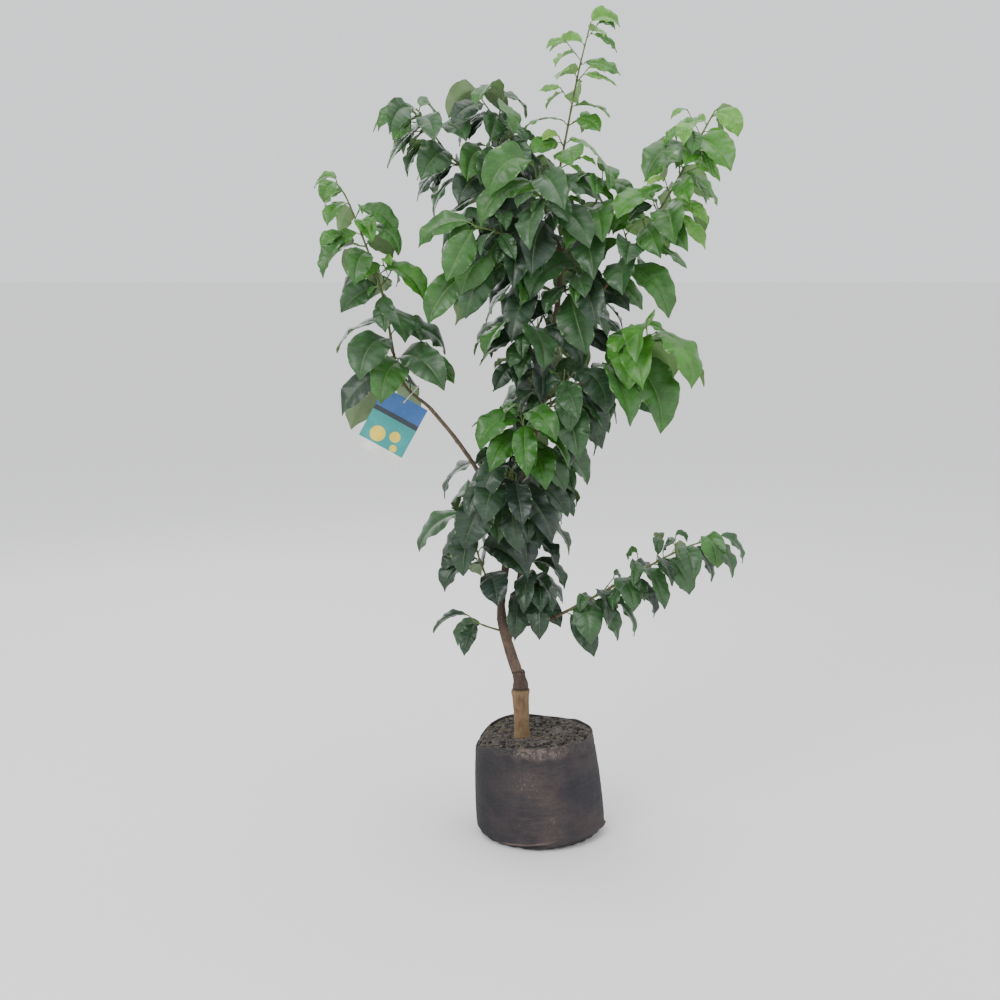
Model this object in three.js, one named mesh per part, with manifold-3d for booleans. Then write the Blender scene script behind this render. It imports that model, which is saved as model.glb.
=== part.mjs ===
// A grafted citrus sapling, standing in the soil of a fabric root bag.
// Millimetres, +Z up. The origin is the centre of the bag's flat underside,
// +X is to the right seen from the front, and +Y points to the back.

import * as THREE from 'three';
import Module from 'manifold-3d';
import { mergeVertices } from 'three/addons/utils/BufferGeometryUtils.js';

const wasm = await Module();
wasm.setup();

const CLEAR = 0.3;
const TINY_EDGE = 0.05;

// Root bag: its rounded bottom edge and side are rings of [height, how far inside the side]. It leans
// to the left towards its rim, which sags at the left end with the soil behind it.
const SOIL_LEVEL = 160;
const SOIL_GAP = 0.8;
const SOIL_HOLLOW = 4;
const SOIL_FLAT = [45, 80];
const SOIL_WAVES = [0.06, 0.05];
const SOIL_RINGS = [1, 0.75, 0.4];
const BAG = {
  sides: 28,
  footRadius: 108,
  topRadius: 99,
  bulge: 3.5,
  lean: 13,
  sag: 24,
  press: 7,
  pressAt: THREE.MathUtils.degToRad(152),
  pressWide: 0.42,
  lump: 1.6,
  lumps: [[3, 1], [5, 0.6]],
  rim: 171,
  rimSlope: 1,
  wall: 3,
  levels: [[0, 15], [5, 4], [16, 0], [88, 0], [SOIL_LEVEL, 0]],
};

// The trunk gives its radius at each point, for its flare, its graft knuckle and its fork
const TRUNK = {
  sides: 10,
  route: [
    [-31, 0, SOIL_LEVEL, 13.4],
    [-31, 0, 182, 12.4],
    [-33, 0, 225, 13.6],
    [-34, 0, 242, 14.4],
    [-35, 0, 262, 10.8],
    [-48, 0, 300, 8.8],
    [-60, 0, 342, 8.4],
    [-66, 0, 385, 7],
    [-60, -3, 445, 6.2],
    [-48, 3, 531, 5.6],
    [-14, 6, 664, 5.2],
    [12, 4, 795, 4.6],
    [26, -2, 900, 4.2],
    [28, 2, 965, 4],
    [15, 4, 998, 3.6],
  ],
};

// Boughs start on the trunk's axis and are cut clear of it
const BOUGH_SIDES = 6;
const BOUGHS = [
  {
    name: 'bough_right_lower',
    radii: [4, 2.8],
    route: [[-60, 0, 348], [-40, -9, 356], [-10, -20, 362], [24, -32, 376]],
  },
  {
    name: 'bough_leader_right',
    radii: [4.8, 3.4],
    route: [[-55, 0, 320], [-50, 9, 338], [-45, 14, 358], [-40, 19, 400], [-33, 26, 451], [-30, 28, 485]],
  },
  {
    name: 'bough_left',
    radii: [4.2, 3.2],
    route: [[-57, -2, 470], [-76, 4, 530], [-91, 8, 581], [-108, 12, 617], [-142, 18, 666],
      [-183, 22, 715]],
  },
  {
    name: 'bough_right_upper',
    radii: [3.8, 2.8],
    route: [[16, 3, 815], [38, -10, 845], [60, -18, 866], [94, -26, 906]],
  },
  {
    name: 'bough_mid_right',
    radii: [3, 2.4],
    route: [[2, 5, 730], [48, -24, 752], [91, -50, 779]],
  },
  {
    name: 'bough_upper_left',
    radii: [3.4, 2.6],
    route: [[17, 4, 990], [-20, 12, 1014], [-56, 20, 1041]],
  },
];

// Growth rule: how routes are smoothed, and what every leaf keeps to
const ROUTE_STEPS = 6;
const TRUNK_STEP = 3;
const TWIG_STEP = 3;
const TWIG_SIDES = 3;
const GOLDEN_ANGLE = THREE.MathUtils.degToRad(137.5);
const LIMB_SAMPLE = 6;
const TWIG_MARGIN = 1.5;
const LEAF_CLEAR = 8;
const OWN_CLEAR = 5;
const BLADE_START = 2;
const BACK_SIDE = 172;
const CROWN_TOP = 1345;

// Side twigs: where on the stem they start, which way they go and how they taper
const LAST_TWIG = 0.92;
const TWIG_SPREAD = [0.2, 0.8];
const TWIG_SWING = [-0.5, 0.5];
const TWIG_REACH = [0.65, 1];
const TWIG_LEAN = 0.55;
const TWIG_LIFT = 0.2;
const TWIG_TAPER = [0.75, 0.8];
const TWIG_BARE = 0.3;
const TWIG_TURN = 2.4;

// Leaf sizes and ways, most of them ranges that are drawn from
const TRIES = 3;
const TRY_TURN = 0.9;
const LEAN = [0.9, 1.5];
const LEAN_AT_END = 0.5;
const LIFT = [0, 0.35];
const LENGTH = [0.85, 1.12];
const WIDTH = [0.4, 0.58];
const DROOP = [0.75, 1.15];
const LIGHT = [-1.5, 1.5];
const GAP = [0.8, 1.2];

// Leaf shape: its stalk and its keel as shares of its length, how much of the stalk's way its foot
// keeps, how it faces up, to the light and outward, and [place along it, share of its width]
const STALK = 0.14;
const ROOT_DEPTH = 1;
const KEEL = 0.02;
const BEND = 0.65;
const FACING = [0.5, 0.7, 0.35];
const STATIONS = [[0, 0.12], [0.27, 0.95], [0.66, 0.88], [1, 0]];

// Foliage masses. Each has one stem with its route and radii, leaf lengths at the foot and at the
// tip of it, the gap from leaf to leaf, how many degrees the blades droop, the bare share of the
// stem, and its side twigs. They grow in this order, and each keeps clear of those before it.
const MASSES = [
  {
    name: 'foliage_top',
    kind: 'young',
    seed: 134,
    stem: [[15, 4, 998], [11, 8, 1021], [30, 18, 1111], [54, 18, 1238], [73, 6, 1318]],
    radii: [3.2, 1.0],
    leaf: [96, 66],
    gap: 24,
    droop: 42,
    bare: 0.1,
  },
  {
    name: 'foliage_right_upper',
    kind: 'fresh',
    seed: 17,
    stem: [[94, -26, 906], [125, -32, 947], [194, -36, 1051], [249, -30, 1152], [266, -26, 1182]],
    radii: [2.7, 1.0],
    leaf: [112, 60],
    gap: 16,
    droop: 66,
    bare: 0.1,
    twigs: 4,
    twigLength: 48,
  },
  {
    name: 'foliage_left',
    kind: 'fresh',
    seed: 59,
    stem: [[-183, 22, 715], [-232, 22, 767], [-260, 14, 907], [-307, 0, 1040], [-327, -6, 1075]],
    radii: [3.0, 1.0],
    leaf: [134, 54],
    gap: 18,
    droop: 68,
    bare: 0.1,
    twigs: 3,
    twigLength: 40,
  },
  {
    name: 'foliage_right_lower',
    kind: 'fresh',
    seed: 195,
    stem: [[24, -32, 376], [100, -50, 422], [215, -68, 492], [278, -74, 516]],
    radii: [2.6, 1.0],
    leaf: [92, 66],
    gap: 15,
    droop: 80,
    bare: 0.06,
  },
  {
    name: 'foliage_mid_right',
    kind: 'fresh',
    seed: 295,
    stem: [[91, -50, 779], [133, -74, 812], [165, -90, 838]],
    radii: [2.3, 1.2],
    leaf: [128, 116],
    gap: 13,
    droop: 74,
    bare: 0.1,
  },
  {
    name: 'foliage_young_front',
    kind: 'young',
    seed: 191,
    stem: [[-27, 6, 614], [-29, -40, 650], [-32, -80, 686], [-32, -104, 706]],
    radii: [2.4, 1.2],
    leaf: [84, 92],
    gap: 11,
    droop: 62,
    bare: 0.6,
  },
  {
    name: 'foliage_upper_left',
    kind: 'mature',
    seed: 3,
    stem: [[-56, 20, 1041], [-97, 30, 1079], [-150, 38, 1122], [-200, 40, 1192]],
    radii: [2.4, 1.1],
    leaf: [96, 80],
    gap: 15,
    droop: 66,
    bare: 0.15,
    twigs: 3,
    twigLength: 60,
  },
  {
    name: 'foliage_upper_mid',
    kind: 'mature',
    seed: 97,
    stem: [[-46, 18, 1033], [-66, 24, 1100], [-72, 18, 1160], [-64, 10, 1206]],
    radii: [2.2, 1.1],
    leaf: [92, 74],
    gap: 13,
    droop: 68,
    bare: 0.25,
    twigs: 3,
    twigLength: 50,
  },
  {
    name: 'foliage_small_shoot',
    kind: 'young',
    seed: 281,
    stem: [[-37, 5, 585], [-62, -1, 628], [-73, -6, 667], [-66, -10, 698], [-63, -12, 718]],
    radii: [1.9, 0.9],
    leaf: [70, 40],
    gap: 26,
    droop: 30,
    bare: 0.45,
  },
  {
    name: 'foliage_low_left',
    kind: 'mature',
    seed: 240,
    stem: [[-66, -1, 397], [-84, -12, 425], [-100, -22, 466], [-112, -26, 512], [-120, -24, 561]],
    radii: [2.4, 1.1],
    leaf: [92, 94],
    gap: 15,
    droop: 76,
    bare: 0.3,
  },
  {
    name: 'foliage_low_twig',
    kind: 'mature',
    seed: 175,
    stem: [[-61, -1, 343], [-92, -10, 355], [-112, -18, 366]],
    radii: [2.0, 1.2],
    leaf: [80, 70],
    gap: 20,
    droop: 66,
    bare: 0.6,
  },
  {
    name: 'foliage_crown_front',
    kind: 'mature',
    seed: 266,
    stem: [[18, -2, 990], [2, -40, 1036], [-12, -70, 1082]],
    radii: [2.5, 1.3],
    leaf: [114, 108],
    gap: 14,
    droop: 62,
    bare: 0.15,
  },
  {
    name: 'foliage_crown_left',
    kind: 'mature',
    seed: 161,
    stem: [[25, 3, 975], [-30, -30, 985], [-76, -50, 1000], [-107, -58, 1006]],
    radii: [2.5, 1.3],
    leaf: [108, 102],
    gap: 15,
    droop: 68,
    bare: 0.15,
    twigs: 1,
    twigLength: 50,
  },
  {
    name: 'foliage_crown_right',
    kind: 'mature',
    seed: 79,
    stem: [[28, 0, 966], [56, -8, 996], [82, -14, 1040], [94, -10, 1080]],
    radii: [2.5, 1.3],
    leaf: [114, 106],
    gap: 15,
    droop: 64,
    bare: 0.1,
    twigs: 1,
    twigLength: 50,
  },
  {
    name: 'foliage_crown_back',
    kind: 'mature',
    seed: 270,
    stem: [[28, 1, 948], [10, 50, 985], [-20, 95, 1030]],
    radii: [2.5, 1.3],
    leaf: [104, 94],
    gap: 16,
    droop: 64,
    bare: 0.2,
    twigs: 2,
    twigLength: 60,
  },
  {
    name: 'foliage_shoulder_left',
    kind: 'mature',
    seed: 103,
    stem: [[26, -2, 900], [-30, -16, 930], [-85, -30, 960]],
    radii: [2.4, 1.2],
    leaf: [108, 100],
    gap: 15,
    droop: 70,
    bare: 0.15,
    twigs: 2,
    twigLength: 50,
  },
  {
    name: 'foliage_shoulder_right',
    kind: 'mature',
    seed: 200,
    stem: [[26, -4, 902], [58, -28, 918], [84, -44, 945]],
    radii: [2.4, 1.2],
    leaf: [104, 96],
    gap: 14,
    droop: 68,
    bare: 0.15,
    twigs: 1,
    twigLength: 50,
  },
  {
    name: 'foliage_inner_right',
    kind: 'mature',
    seed: 6,
    stem: [[20, 4, 840], [52, 14, 868], [84, 30, 905]],
    radii: [2.3, 1.2],
    leaf: [96, 92],
    gap: 15,
    droop: 70,
    bare: 0.2,
    twigs: 1,
    twigLength: 50,
  },
  {
    name: 'foliage_inner_left',
    kind: 'mature',
    seed: 142,
    stem: [[13, 4, 798], [-20, -24, 835], [-50, -42, 868]],
    radii: [2.3, 1.2],
    leaf: [108, 100],
    gap: 15,
    droop: 70,
    bare: 0.15,
    twigs: 1,
    twigLength: 50,
  },
  {
    name: 'foliage_inner_back',
    kind: 'mature',
    seed: 56,
    stem: [[13, 4, 802], [14, 50, 830], [0, 95, 880]],
    radii: [2.3, 1.2],
    leaf: [104, 96],
    gap: 16,
    droop: 68,
    bare: 0.15,
    twigs: 2,
    twigLength: 60,
  },
  {
    name: 'foliage_centre_front',
    kind: 'mature',
    seed: 10,
    stem: [[-6, 6, 698], [22, -36, 735], [40, -72, 770]],
    radii: [2.3, 1.2],
    leaf: [98, 92],
    gap: 13,
    droop: 76,
    bare: 0.15,
    twigs: 2,
    twigLength: 50,
  },
  {
    name: 'foliage_centre_right',
    kind: 'mature',
    seed: 241,
    stem: [[-1, 6, 718], [40, 34, 735], [80, 50, 765]],
    radii: [2.3, 1.2],
    leaf: [98, 92],
    gap: 14,
    droop: 74,
    bare: 0.15,
    twigs: 2,
    twigLength: 50,
  },
  {
    name: 'foliage_centre_left',
    kind: 'mature',
    seed: 248,
    stem: [[0, 6, 738], [-24, 16, 772], [-42, 20, 812]],
    radii: [2.1, 1.1],
    leaf: [84, 78],
    gap: 14,
    droop: 64,
    bare: 0.15,
    twigs: 1,
    twigLength: 40,
  },
  {
    name: 'foliage_centre_back',
    kind: 'mature',
    seed: 119,
    stem: [[-8, 6, 690], [-8, 60, 715], [-30, 105, 750]],
    radii: [2.3, 1.2],
    leaf: [102, 94],
    gap: 15,
    droop: 70,
    bare: 0.15,
    twigs: 2,
    twigLength: 60,
  },
  {
    name: 'foliage_leader_right',
    kind: 'mature',
    seed: 23,
    stem: [[-30, 28, 485], [-18, 32, 535], [-5, 38, 590], [8, 42, 635]],
    radii: [3.0, 1.2],
    leaf: [92, 88],
    gap: 13,
    droop: 76,
    bare: 0.05,
    twigs: 3,
    twigLength: 55,
  },
  {
    name: 'foliage_low_front',
    kind: 'mature',
    seed: 151,
    stem: [[-43, 4, 556], [-44, -40, 590], [-50, -76, 622]],
    radii: [2.3, 1.2],
    leaf: [108, 100],
    gap: 13,
    droop: 78,
    bare: 0.1,
    twigs: 2,
    twigLength: 50,
  },
  {
    name: 'foliage_low_back',
    kind: 'mature',
    seed: 69,
    stem: [[-46, 3, 541], [-62, 55, 570], [-90, 95, 610]],
    radii: [2.3, 1.2],
    leaf: [100, 92],
    gap: 16,
    droop: 70,
    bare: 0.15,
    twigs: 2,
    twigLength: 55,
  },
  {
    name: 'foliage_low_right',
    kind: 'mature',
    seed: 48,
    stem: [[-38, 20, 405], [-20, 0, 414], [-4, -22, 424]],
    radii: [2.1, 1.2],
    leaf: [88, 80],
    gap: 14,
    droop: 78,
    bare: 0.15,
    twigs: 1,
    twigLength: 40,
  },
];

// Care tag: a card that hangs from the stem of one mass by a wire tie, in front of the stem
const TAG = {
  mass: 'foliage_left',
  along: 38,
  width: 80,
  height: 104,
  thick: 0.6,
  slope: THREE.MathUtils.degToRad(29),
  hole: 2.6,
  margin: 7,
  ahead: 10,
  tie: 12,
  wire: 0.8,
  hang: 7,
  forward: 3,
  grid: [10, 13],
  tieSteps: 16,
};

const UP = new THREE.Vector3(0, 0, 1);
const FRONT = new THREE.Vector3(0, -1, 0);
const vector = ([x, y, z]) => new THREE.Vector3(x, y, z);
const mix = (a, b, u) => a.clone().lerp(b, u);
const sum = (...terms) => terms.reduce(
  (total, [share, way]) => total.addScaledVector(way, share),
  new THREE.Vector3(),
);

// Repeatable random numbers, the same in any language
class Draw {
  constructor(seed) {
    this.state = seed;
    for (let k = 0; k < 3; k += 1) this.next();
  }

  next() {
    this.state = (this.state * 16807) % 2147483647;
    return this.state / 2147483647;
  }

  between([low, high]) {
    return low + (high - low) * this.next();
  }
}

// A limb, stem or twig: a smooth line along its route, with a radius that tapers
class Axis {
  constructor(route, radii) {
    this.radii = radii ?? route.map((point) => point[3]);
    const curve = new THREE.CatmullRomCurve3(route.map(vector), false, 'catmullrom', 0.5);
    this.line = curve.getPoints(ROUTE_STEPS * (route.length - 1));
    this.run = [0];
    for (let k = 1; k < this.line.length; k += 1) {
      this.run.push(this.run[k - 1] + this.line[k].distanceTo(this.line[k - 1]));
    }
    this.length = this.run[this.run.length - 1];
  }

  // The place at a distance from the foot, the way the axis takes there, and its radius
  at(distance) {
    let k = 1;
    while (k < this.run.length - 1 && this.run[k] < distance) k += 1;
    const u = (distance - this.run[k - 1]) / (this.run[k] - this.run[k - 1]);
    return {
      here: mix(this.line[k - 1], this.line[k], u),
      way: this.line[k].clone().sub(this.line[k - 1]).normalize(),
      radius: this.radiusAt(k - 1 + u),
    };
  }

  // The radii are spread evenly over the steps of the line
  radiusAt(step) {
    const place = (step * (this.radii.length - 1)) / (this.line.length - 1);
    const k = Math.min(this.radii.length - 2, Math.floor(place));
    return this.radii[k] + (this.radii[k + 1] - this.radii[k]) * (place - k);
  }
}

// The way out from an axis, at an angle round it that starts on its upper side
function outward(way, angle) {
  const side = way.clone().cross(Math.abs(way.z) < 0.9 ? UP : FRONT).normalize();
  const top = side.clone().cross(way);
  return sum([Math.sin(angle), side], [Math.cos(angle), top]);
}

// A blade on a short stalk, which bends towards the ground. It turns its face to the light, as its
// middle does, so it isn't twisted.
class Leaf {
  constructor(root, stalk, length, width, droop, light) {
    const flat = new THREE.Vector3(stalk.x, stalk.y - 1e-3, 0).normalize();
    const end = sum([Math.cos(droop), flat], [-Math.sin(droop), UP]);
    const toLight = new THREE.Vector3(Math.sin(light), -Math.cos(light), 0);
    const facing = sum([FACING[0], UP], [FACING[1], toLight], [FACING[2], flat]);
    const wayAt = (place) => sum([BEND * (1 - place), stalk], [1 - BEND * (1 - place), end]).normalize();
    const level = wayAt(0.5).cross(facing).normalize();
    this.root = root;
    this.stalk = stalk;
    this.length = length;
    this.rows = [];
    let middle = root.clone().addScaledVector(stalk, STALK * length);
    let before = null;
    let last = 0;
    for (const [place, share] of STATIONS) {
      const way = wayAt(place);
      if (before) {
        const step = way.clone().add(before).normalize();
        middle = middle.clone().addScaledVector(step, length * (place - last));
      }
      const across = level.clone().addScaledVector(way, -level.dot(way)).normalize();
      const half = across.clone().multiplyScalar((width / 2) * share);
      const under = way.clone().cross(across);
      this.rows.push({ middle, left: middle.clone().add(half), right: middle.clone().sub(half), under });
      before = way;
      last = place;
    }
  }

  // Points all over the stalk and the blade
  samples() {
    const points = [mix(this.root, this.rows[0].middle, 0.6)];
    for (let k = 0; k + 1 < this.rows.length; k += 1) {
      for (const u of [0, 1 / 3, 2 / 3]) {
        for (const line of ['middle', 'left', 'right']) {
          points.push(mix(this.rows[k][line], this.rows[k + 1][line], u));
        }
      }
    }
    points.push(this.rows[this.rows.length - 1].middle);
    return points;
  }

  // A three-sided stalk that widens into a blade with a keel under its midrib
  geometry() {
    const rings = this.rows.slice(0, -1).map(({ middle, left, right, under }) => [
      left,
      middle.clone().addScaledVector(under, KEEL * this.length),
      right,
    ]);
    const foot = this.root.clone().addScaledVector(this.stalk, -ROOT_DEPTH);
    return skin(rings, this.rows[this.rows.length - 1].middle, foot);
  }
}

// All the points that are taken, each with its own margin and, on a stem, the mass it belongs to
class Taken {
  constructor() {
    this.points = [];
  }

  add(points, margin, owner = null) {
    for (const point of points) this.points.push({ point, margin, owner });
  }

  near(points, gap, owner) {
    return this.points.some((it) => (
      (it.owner === null || it.owner !== owner)
      && points.some((point) => point.distanceTo(it.point) < gap + it.margin)
    ));
  }
}

// Grows one mass: its stem, its twigs and its leaves, each skipped where it would touch something
function grow(mass, taken) {
  const draw = new Draw(mass.seed);
  const stem = new Axis(mass.stem, mass.radii);
  const axes = [stem];
  const twigs = mass.twigs ?? 0;
  for (let k = 0; k < twigs; k += 1) {
    const share = mass.bare + ((LAST_TWIG - mass.bare) * (k + draw.between(TWIG_SPREAD))) / twigs;
    const { here, way, radius } = stem.at(stem.length * share);
    const out = outward(way, k * GOLDEN_ANGLE + draw.between(TWIG_SWING));
    const reach = mass.twigLength * draw.between(TWIG_REACH);
    const first = sum([TWIG_LEAN, way], [1, out]).normalize();
    const elbow = sum([1, here], [reach / 2, first]);
    const end = sum([1, here], [reach, first], [TWIG_LIFT * reach, UP]);
    const twig = new Axis(
      [here, elbow, end].map((point) => point.toArray()),
      [radius * TWIG_TAPER[0], mass.radii[1] * TWIG_TAPER[1]],
    );
    if (!taken.near(twig.line.slice(3), LEAF_CLEAR, mass.name)) axes.push(twig);
  }
  const leaves = [];
  axes.forEach((axis, i) => {
    let distance = axis.length * (i ? TWIG_BARE : mass.bare);
    let turn = i * TWIG_TURN + draw.between([0, 2 * Math.PI]);
    let last = false;
    while (!last) {
      last = distance > axis.length - 2;
      const { here, way } = axis.at(distance);
      const size = THREE.MathUtils.lerp(...mass.leaf, Math.min(1, distance / axis.length));
      for (let attempt = 0; attempt < TRIES; attempt += 1) {
        const out = outward(way, turn + attempt * TRY_TURN);
        const lean = last ? LEAN_AT_END : draw.between(LEAN);
        const stalk = sum([1, way], [lean, out], [draw.between(LIFT), UP]).normalize();
        const length = size * draw.between(LENGTH);
        const width = length * draw.between(WIDTH);
        const droop = THREE.MathUtils.degToRad(mass.droop * draw.between(DROOP));
        const leaf = new Leaf(here, stalk, length, width, droop, draw.between(LIGHT));
        if (fits(leaf, leaves, axes, taken, mass.name)) {
          leaves.push(leaf);
          break;
        }
      }
      distance = Math.min(axis.length, distance + mass.gap * draw.between(GAP));
      turn += GOLDEN_ANGLE;
    }
  });
  return { axes, leaves };
}

// A leaf stays in the crown's room, clear of limbs and of other masses, and its blade keeps clear of
// the twigs and the blades of its own mass
function fits(leaf, leaves, axes, taken, owner) {
  const points = leaf.samples();
  if (points.some((point) => point.y > BACK_SIDE || point.z > CROWN_TOP)) return false;
  if (taken.near(points.slice(1), LEAF_CLEAR, owner)) return false;
  const blade = points.slice(BLADE_START);
  const own = [
    ...axes.flatMap((axis) => axis.line),
    ...leaves.flatMap((other) => other.samples().slice(BLADE_START)),
  ];
  return !own.some((p) => blade.some((q) => q.distanceTo(p) < OWN_CLEAR));
}

// A closed skin over rings of points that turn right-handed about the way the rings follow. Each
// end is flat, or runs to a point.
function skin(rings, tip = null, foot = null) {
  const sides = rings[0].length;
  const points = rings.flat();
  const faces = [];
  for (let k = 0; k + 1 < rings.length; k += 1) {
    for (let j = 0; j < sides; j += 1) {
      const a = k * sides + j;
      const b = k * sides + ((j + 1) % sides);
      faces.push(a, b, b + sides, a, b + sides, a + sides);
    }
  }
  const last = (rings.length - 1) * sides;
  if (foot) {
    for (let j = 0; j < sides; j += 1) faces.push((j + 1) % sides, j, points.length);
    points.push(foot);
  } else {
    for (let j = 1; j + 1 < sides; j += 1) faces.push(0, j + 1, j);
  }
  if (tip) {
    for (let j = 0; j < sides; j += 1) faces.push(last + j, last + ((j + 1) % sides), points.length);
    points.push(tip);
  } else {
    for (let j = 1; j + 1 < sides; j += 1) faces.push(last, last + j, last + j + 1);
  }
  const geometry = new THREE.BufferGeometry().setFromPoints(points);
  geometry.setIndex(faces);
  return geometry;
}

// A tapering tube round an axis. With extra, it is that much bigger all round and at its ends.
function tube(axis, sides, step, extra = 0) {
  const rings = [];
  const last = axis.line.length - 1;
  let normal = new THREE.Vector3(0.3, 1, 0.2);
  for (let k = 0; k <= last; k += step) {
    const way = axis.line[Math.min(last, k + 1)].clone().sub(axis.line[Math.max(0, k - 1)]).normalize();
    normal = normal.clone().addScaledVector(way, -normal.dot(way)).normalize();
    const across = way.clone().cross(normal);
    const push = k === last ? extra : k === 0 ? -extra : 0;
    const centre = sum([1, axis.line[k]], [push, way]);
    const radius = axis.radiusAt(k) + extra;
    rings.push(Array.from({ length: sides }, (_, j) => {
      const angle = (j / sides) * 2 * Math.PI;
      return sum([1, centre], [radius * Math.cos(angle), normal], [radius * Math.sin(angle), across]);
    }));
  }
  return skin(rings);
}

// From a three.js geometry to a solid that can be joined and cut, and back
function solid(geometry) {
  geometry.deleteAttribute('normal');
  geometry.deleteAttribute('uv');
  const merged = mergeVertices(geometry);
  return new wasm.Manifold(new wasm.Mesh({
    numProp: 3,
    vertProperties: new Float32Array(merged.attributes.position.array),
    triVerts: new Uint32Array(merged.index.array),
  }));
}

// The largest of the bodies in a solid, so that loose scraps are dropped, without its tiniest edges
function surface(body) {
  const largest = body.decompose().reduce((a, b) => (b.volume() > a.volume() ? b : a));
  const mesh = largest.simplify(TINY_EDGE).getMesh();
  const geometry = new THREE.BufferGeometry();
  geometry.setAttribute('position', new THREE.BufferAttribute(mesh.vertProperties, 3));
  geometry.setIndex(new THREE.BufferAttribute(mesh.triVerts, 1));
  return geometry;
}

// Radius of the bag's side at an angle and a height: a soft, slightly lumpy drum, pressed in at the
// left of its back towards the rim
function bagRadius(angle, height) {
  const rise = height / BAG.rim;
  const taper = THREE.MathUtils.lerp(BAG.footRadius, BAG.topRadius, rise);
  const drum = taper + BAG.bulge * Math.sin(Math.PI * rise);
  const lumps = BAG.lumps.map(([count, share]) => share * Math.sin(count * angle + 1));
  const pressed = BAG.press * rise ** 3 * Math.exp(-(((angle - BAG.pressAt) / BAG.pressWide) ** 2));
  return drum + BAG.lump * lumps.reduce((a, b) => a + b) - pressed;
}

// A ring inside the bag's side, at a height that may change with the angle, or a share of such a ring
function bagRing(heightAt, inset, share = 1) {
  return Array.from({ length: BAG.sides }, (_, j) => {
    const angle = (j / BAG.sides) * 2 * Math.PI;
    const height = heightAt(angle);
    const radius = share * (bagRadius(angle, height) - inset);
    const aside = (-BAG.lean * height) / BAG.rim;
    return new THREE.Vector3(aside + radius * Math.cos(angle), radius * Math.sin(angle), height);
  });
}

// How far the rim and the soil sag at the left end of the bag
function sag(angle) {
  return BAG.sag * Math.max(0, -Math.cos(angle)) ** 4;
}

// The open bag: up the outside, over the rim and down the inside to its floor
function bag() {
  const level = (angle) => BAG.rim - BAG.rimSlope * Math.sin(angle) + BAG.lump * Math.sin(4 * angle);
  const rim = (angle) => level(angle) - sag(angle);
  const low = BAG.levels.slice(0, -1);
  const outside = low.map(([height, inset]) => bagRing(() => height, inset));
  const inside = low.map(
    ([height, inset]) => bagRing(() => Math.max(height, BAG.wall), inset + BAG.wall),
  );
  const edge = (angle) => SOIL_LEVEL - sag(angle);
  const top = [bagRing(edge, 0), bagRing(rim, 0), bagRing(rim, BAG.wall), bagRing(edge, BAG.wall)];
  return skin([...outside, ...top, ...inside.reverse()]);
}

// The soil fills the bag and is level under the trunk, with hollows round it
function soil() {
  const inset = BAG.wall + SOIL_GAP;
  const sides = BAG.levels.slice(0, -1).map(
    ([height, deeper]) => bagRing(() => Math.max(height, BAG.wall) + CLEAR, deeper + inset),
  );
  const foot = vector(TRUNK.route[0]);
  const top = SOIL_RINGS.map((share) => {
    const level = (angle) => SOIL_LEVEL - CLEAR - sag(angle) * share ** 4;
    return bagRing(level, inset, share).map((spot) => {
      const away = THREE.MathUtils.smoothstep(Math.hypot(spot.x - foot.x, spot.y), ...SOIL_FLAT);
      const wave = Math.sin(SOIL_WAVES[0] * spot.x + 2 * share) * Math.cos(SOIL_WAVES[1] * spot.y);
      return spot.setZ(spot.z - (SOIL_HOLLOW * away * (1 + wave)) / 2);
    });
  });
  return skin([...sides, ...top]);
}

// A printed card with a hole near its top edge, its middle at the hole
function card() {
  const outline = new THREE.Shape();
  const top = TAG.margin;
  const bottom = TAG.margin - TAG.height;
  outline.moveTo(-TAG.width / 2, bottom);
  outline.lineTo(TAG.width / 2, bottom);
  outline.lineTo(TAG.width / 2, top);
  outline.lineTo(-TAG.width / 2, top);
  outline.closePath();
  outline.holes.push(new THREE.Path().absarc(0, 0, TAG.hole, 0, 2 * Math.PI, true));
  return new THREE.ExtrudeGeometry(outline, { depth: TAG.thick, bevelEnabled: false, curveSegments: 6 });
}

// Where the tie goes round the stem and through the card: its middle, and its wire in the hole
function tiePlace(stem) {
  const { here, way } = stem.at(TAG.along);
  const down = way.clone().cross(new THREE.Vector3(0, 1, 0)).normalize();
  const middle = sum([1, here], [TAG.hang, down], [TAG.forward, FRONT]);
  const depth = TAG.ahead - TAG.forward;
  const wire = sum([1, middle], [Math.sqrt(TAG.tie ** 2 - depth ** 2), down], [depth, FRONT]);
  return { middle, down, wire };
}

// Points over the card and round the tie, which the leaves keep clear of
function tagPoints({ middle, down, wire }) {
  const right = new THREE.Vector3(Math.cos(TAG.slope), 0, -Math.sin(TAG.slope));
  const up = new THREE.Vector3(Math.sin(TAG.slope), 0, Math.cos(TAG.slope));
  const points = [];
  const [columns, rows] = TAG.grid;
  for (let i = 0; i <= columns; i += 1) {
    for (let j = 0; j <= rows; j += 1) {
      points.push(sum(
        [1, wire],
        [TAG.margin - (TAG.height * j) / rows, up],
        [TAG.width * (i / columns - 0.5), right],
      ));
    }
  }
  for (let k = 0; k < TAG.tieSteps; k += 1) {
    const angle = (k / TAG.tieSteps) * 2 * Math.PI;
    points.push(sum([1, middle], [TAG.tie * Math.cos(angle), down], [-TAG.tie * Math.sin(angle), FRONT]));
  }
  return points;
}

// The finish of each kind of surface
const SKINS = {
  bag: { color: 0x4a4340, roughness: 0.95 },
  soil: { color: 0x5b4c3c, roughness: 1 },
  bark: { color: 0x7a5c40, roughness: 0.85 },
  young: { color: 0x7fae3e, roughness: 0.45 },
  fresh: { color: 0x4d8a3c, roughness: 0.45 },
  mature: { color: 0x2e5a2d, roughness: 0.5 },
  card: { color: 0x3f9aa0, roughness: 0.3 },
  tie: { color: 0xd8d8d2, roughness: 0.4 },
};

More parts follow.
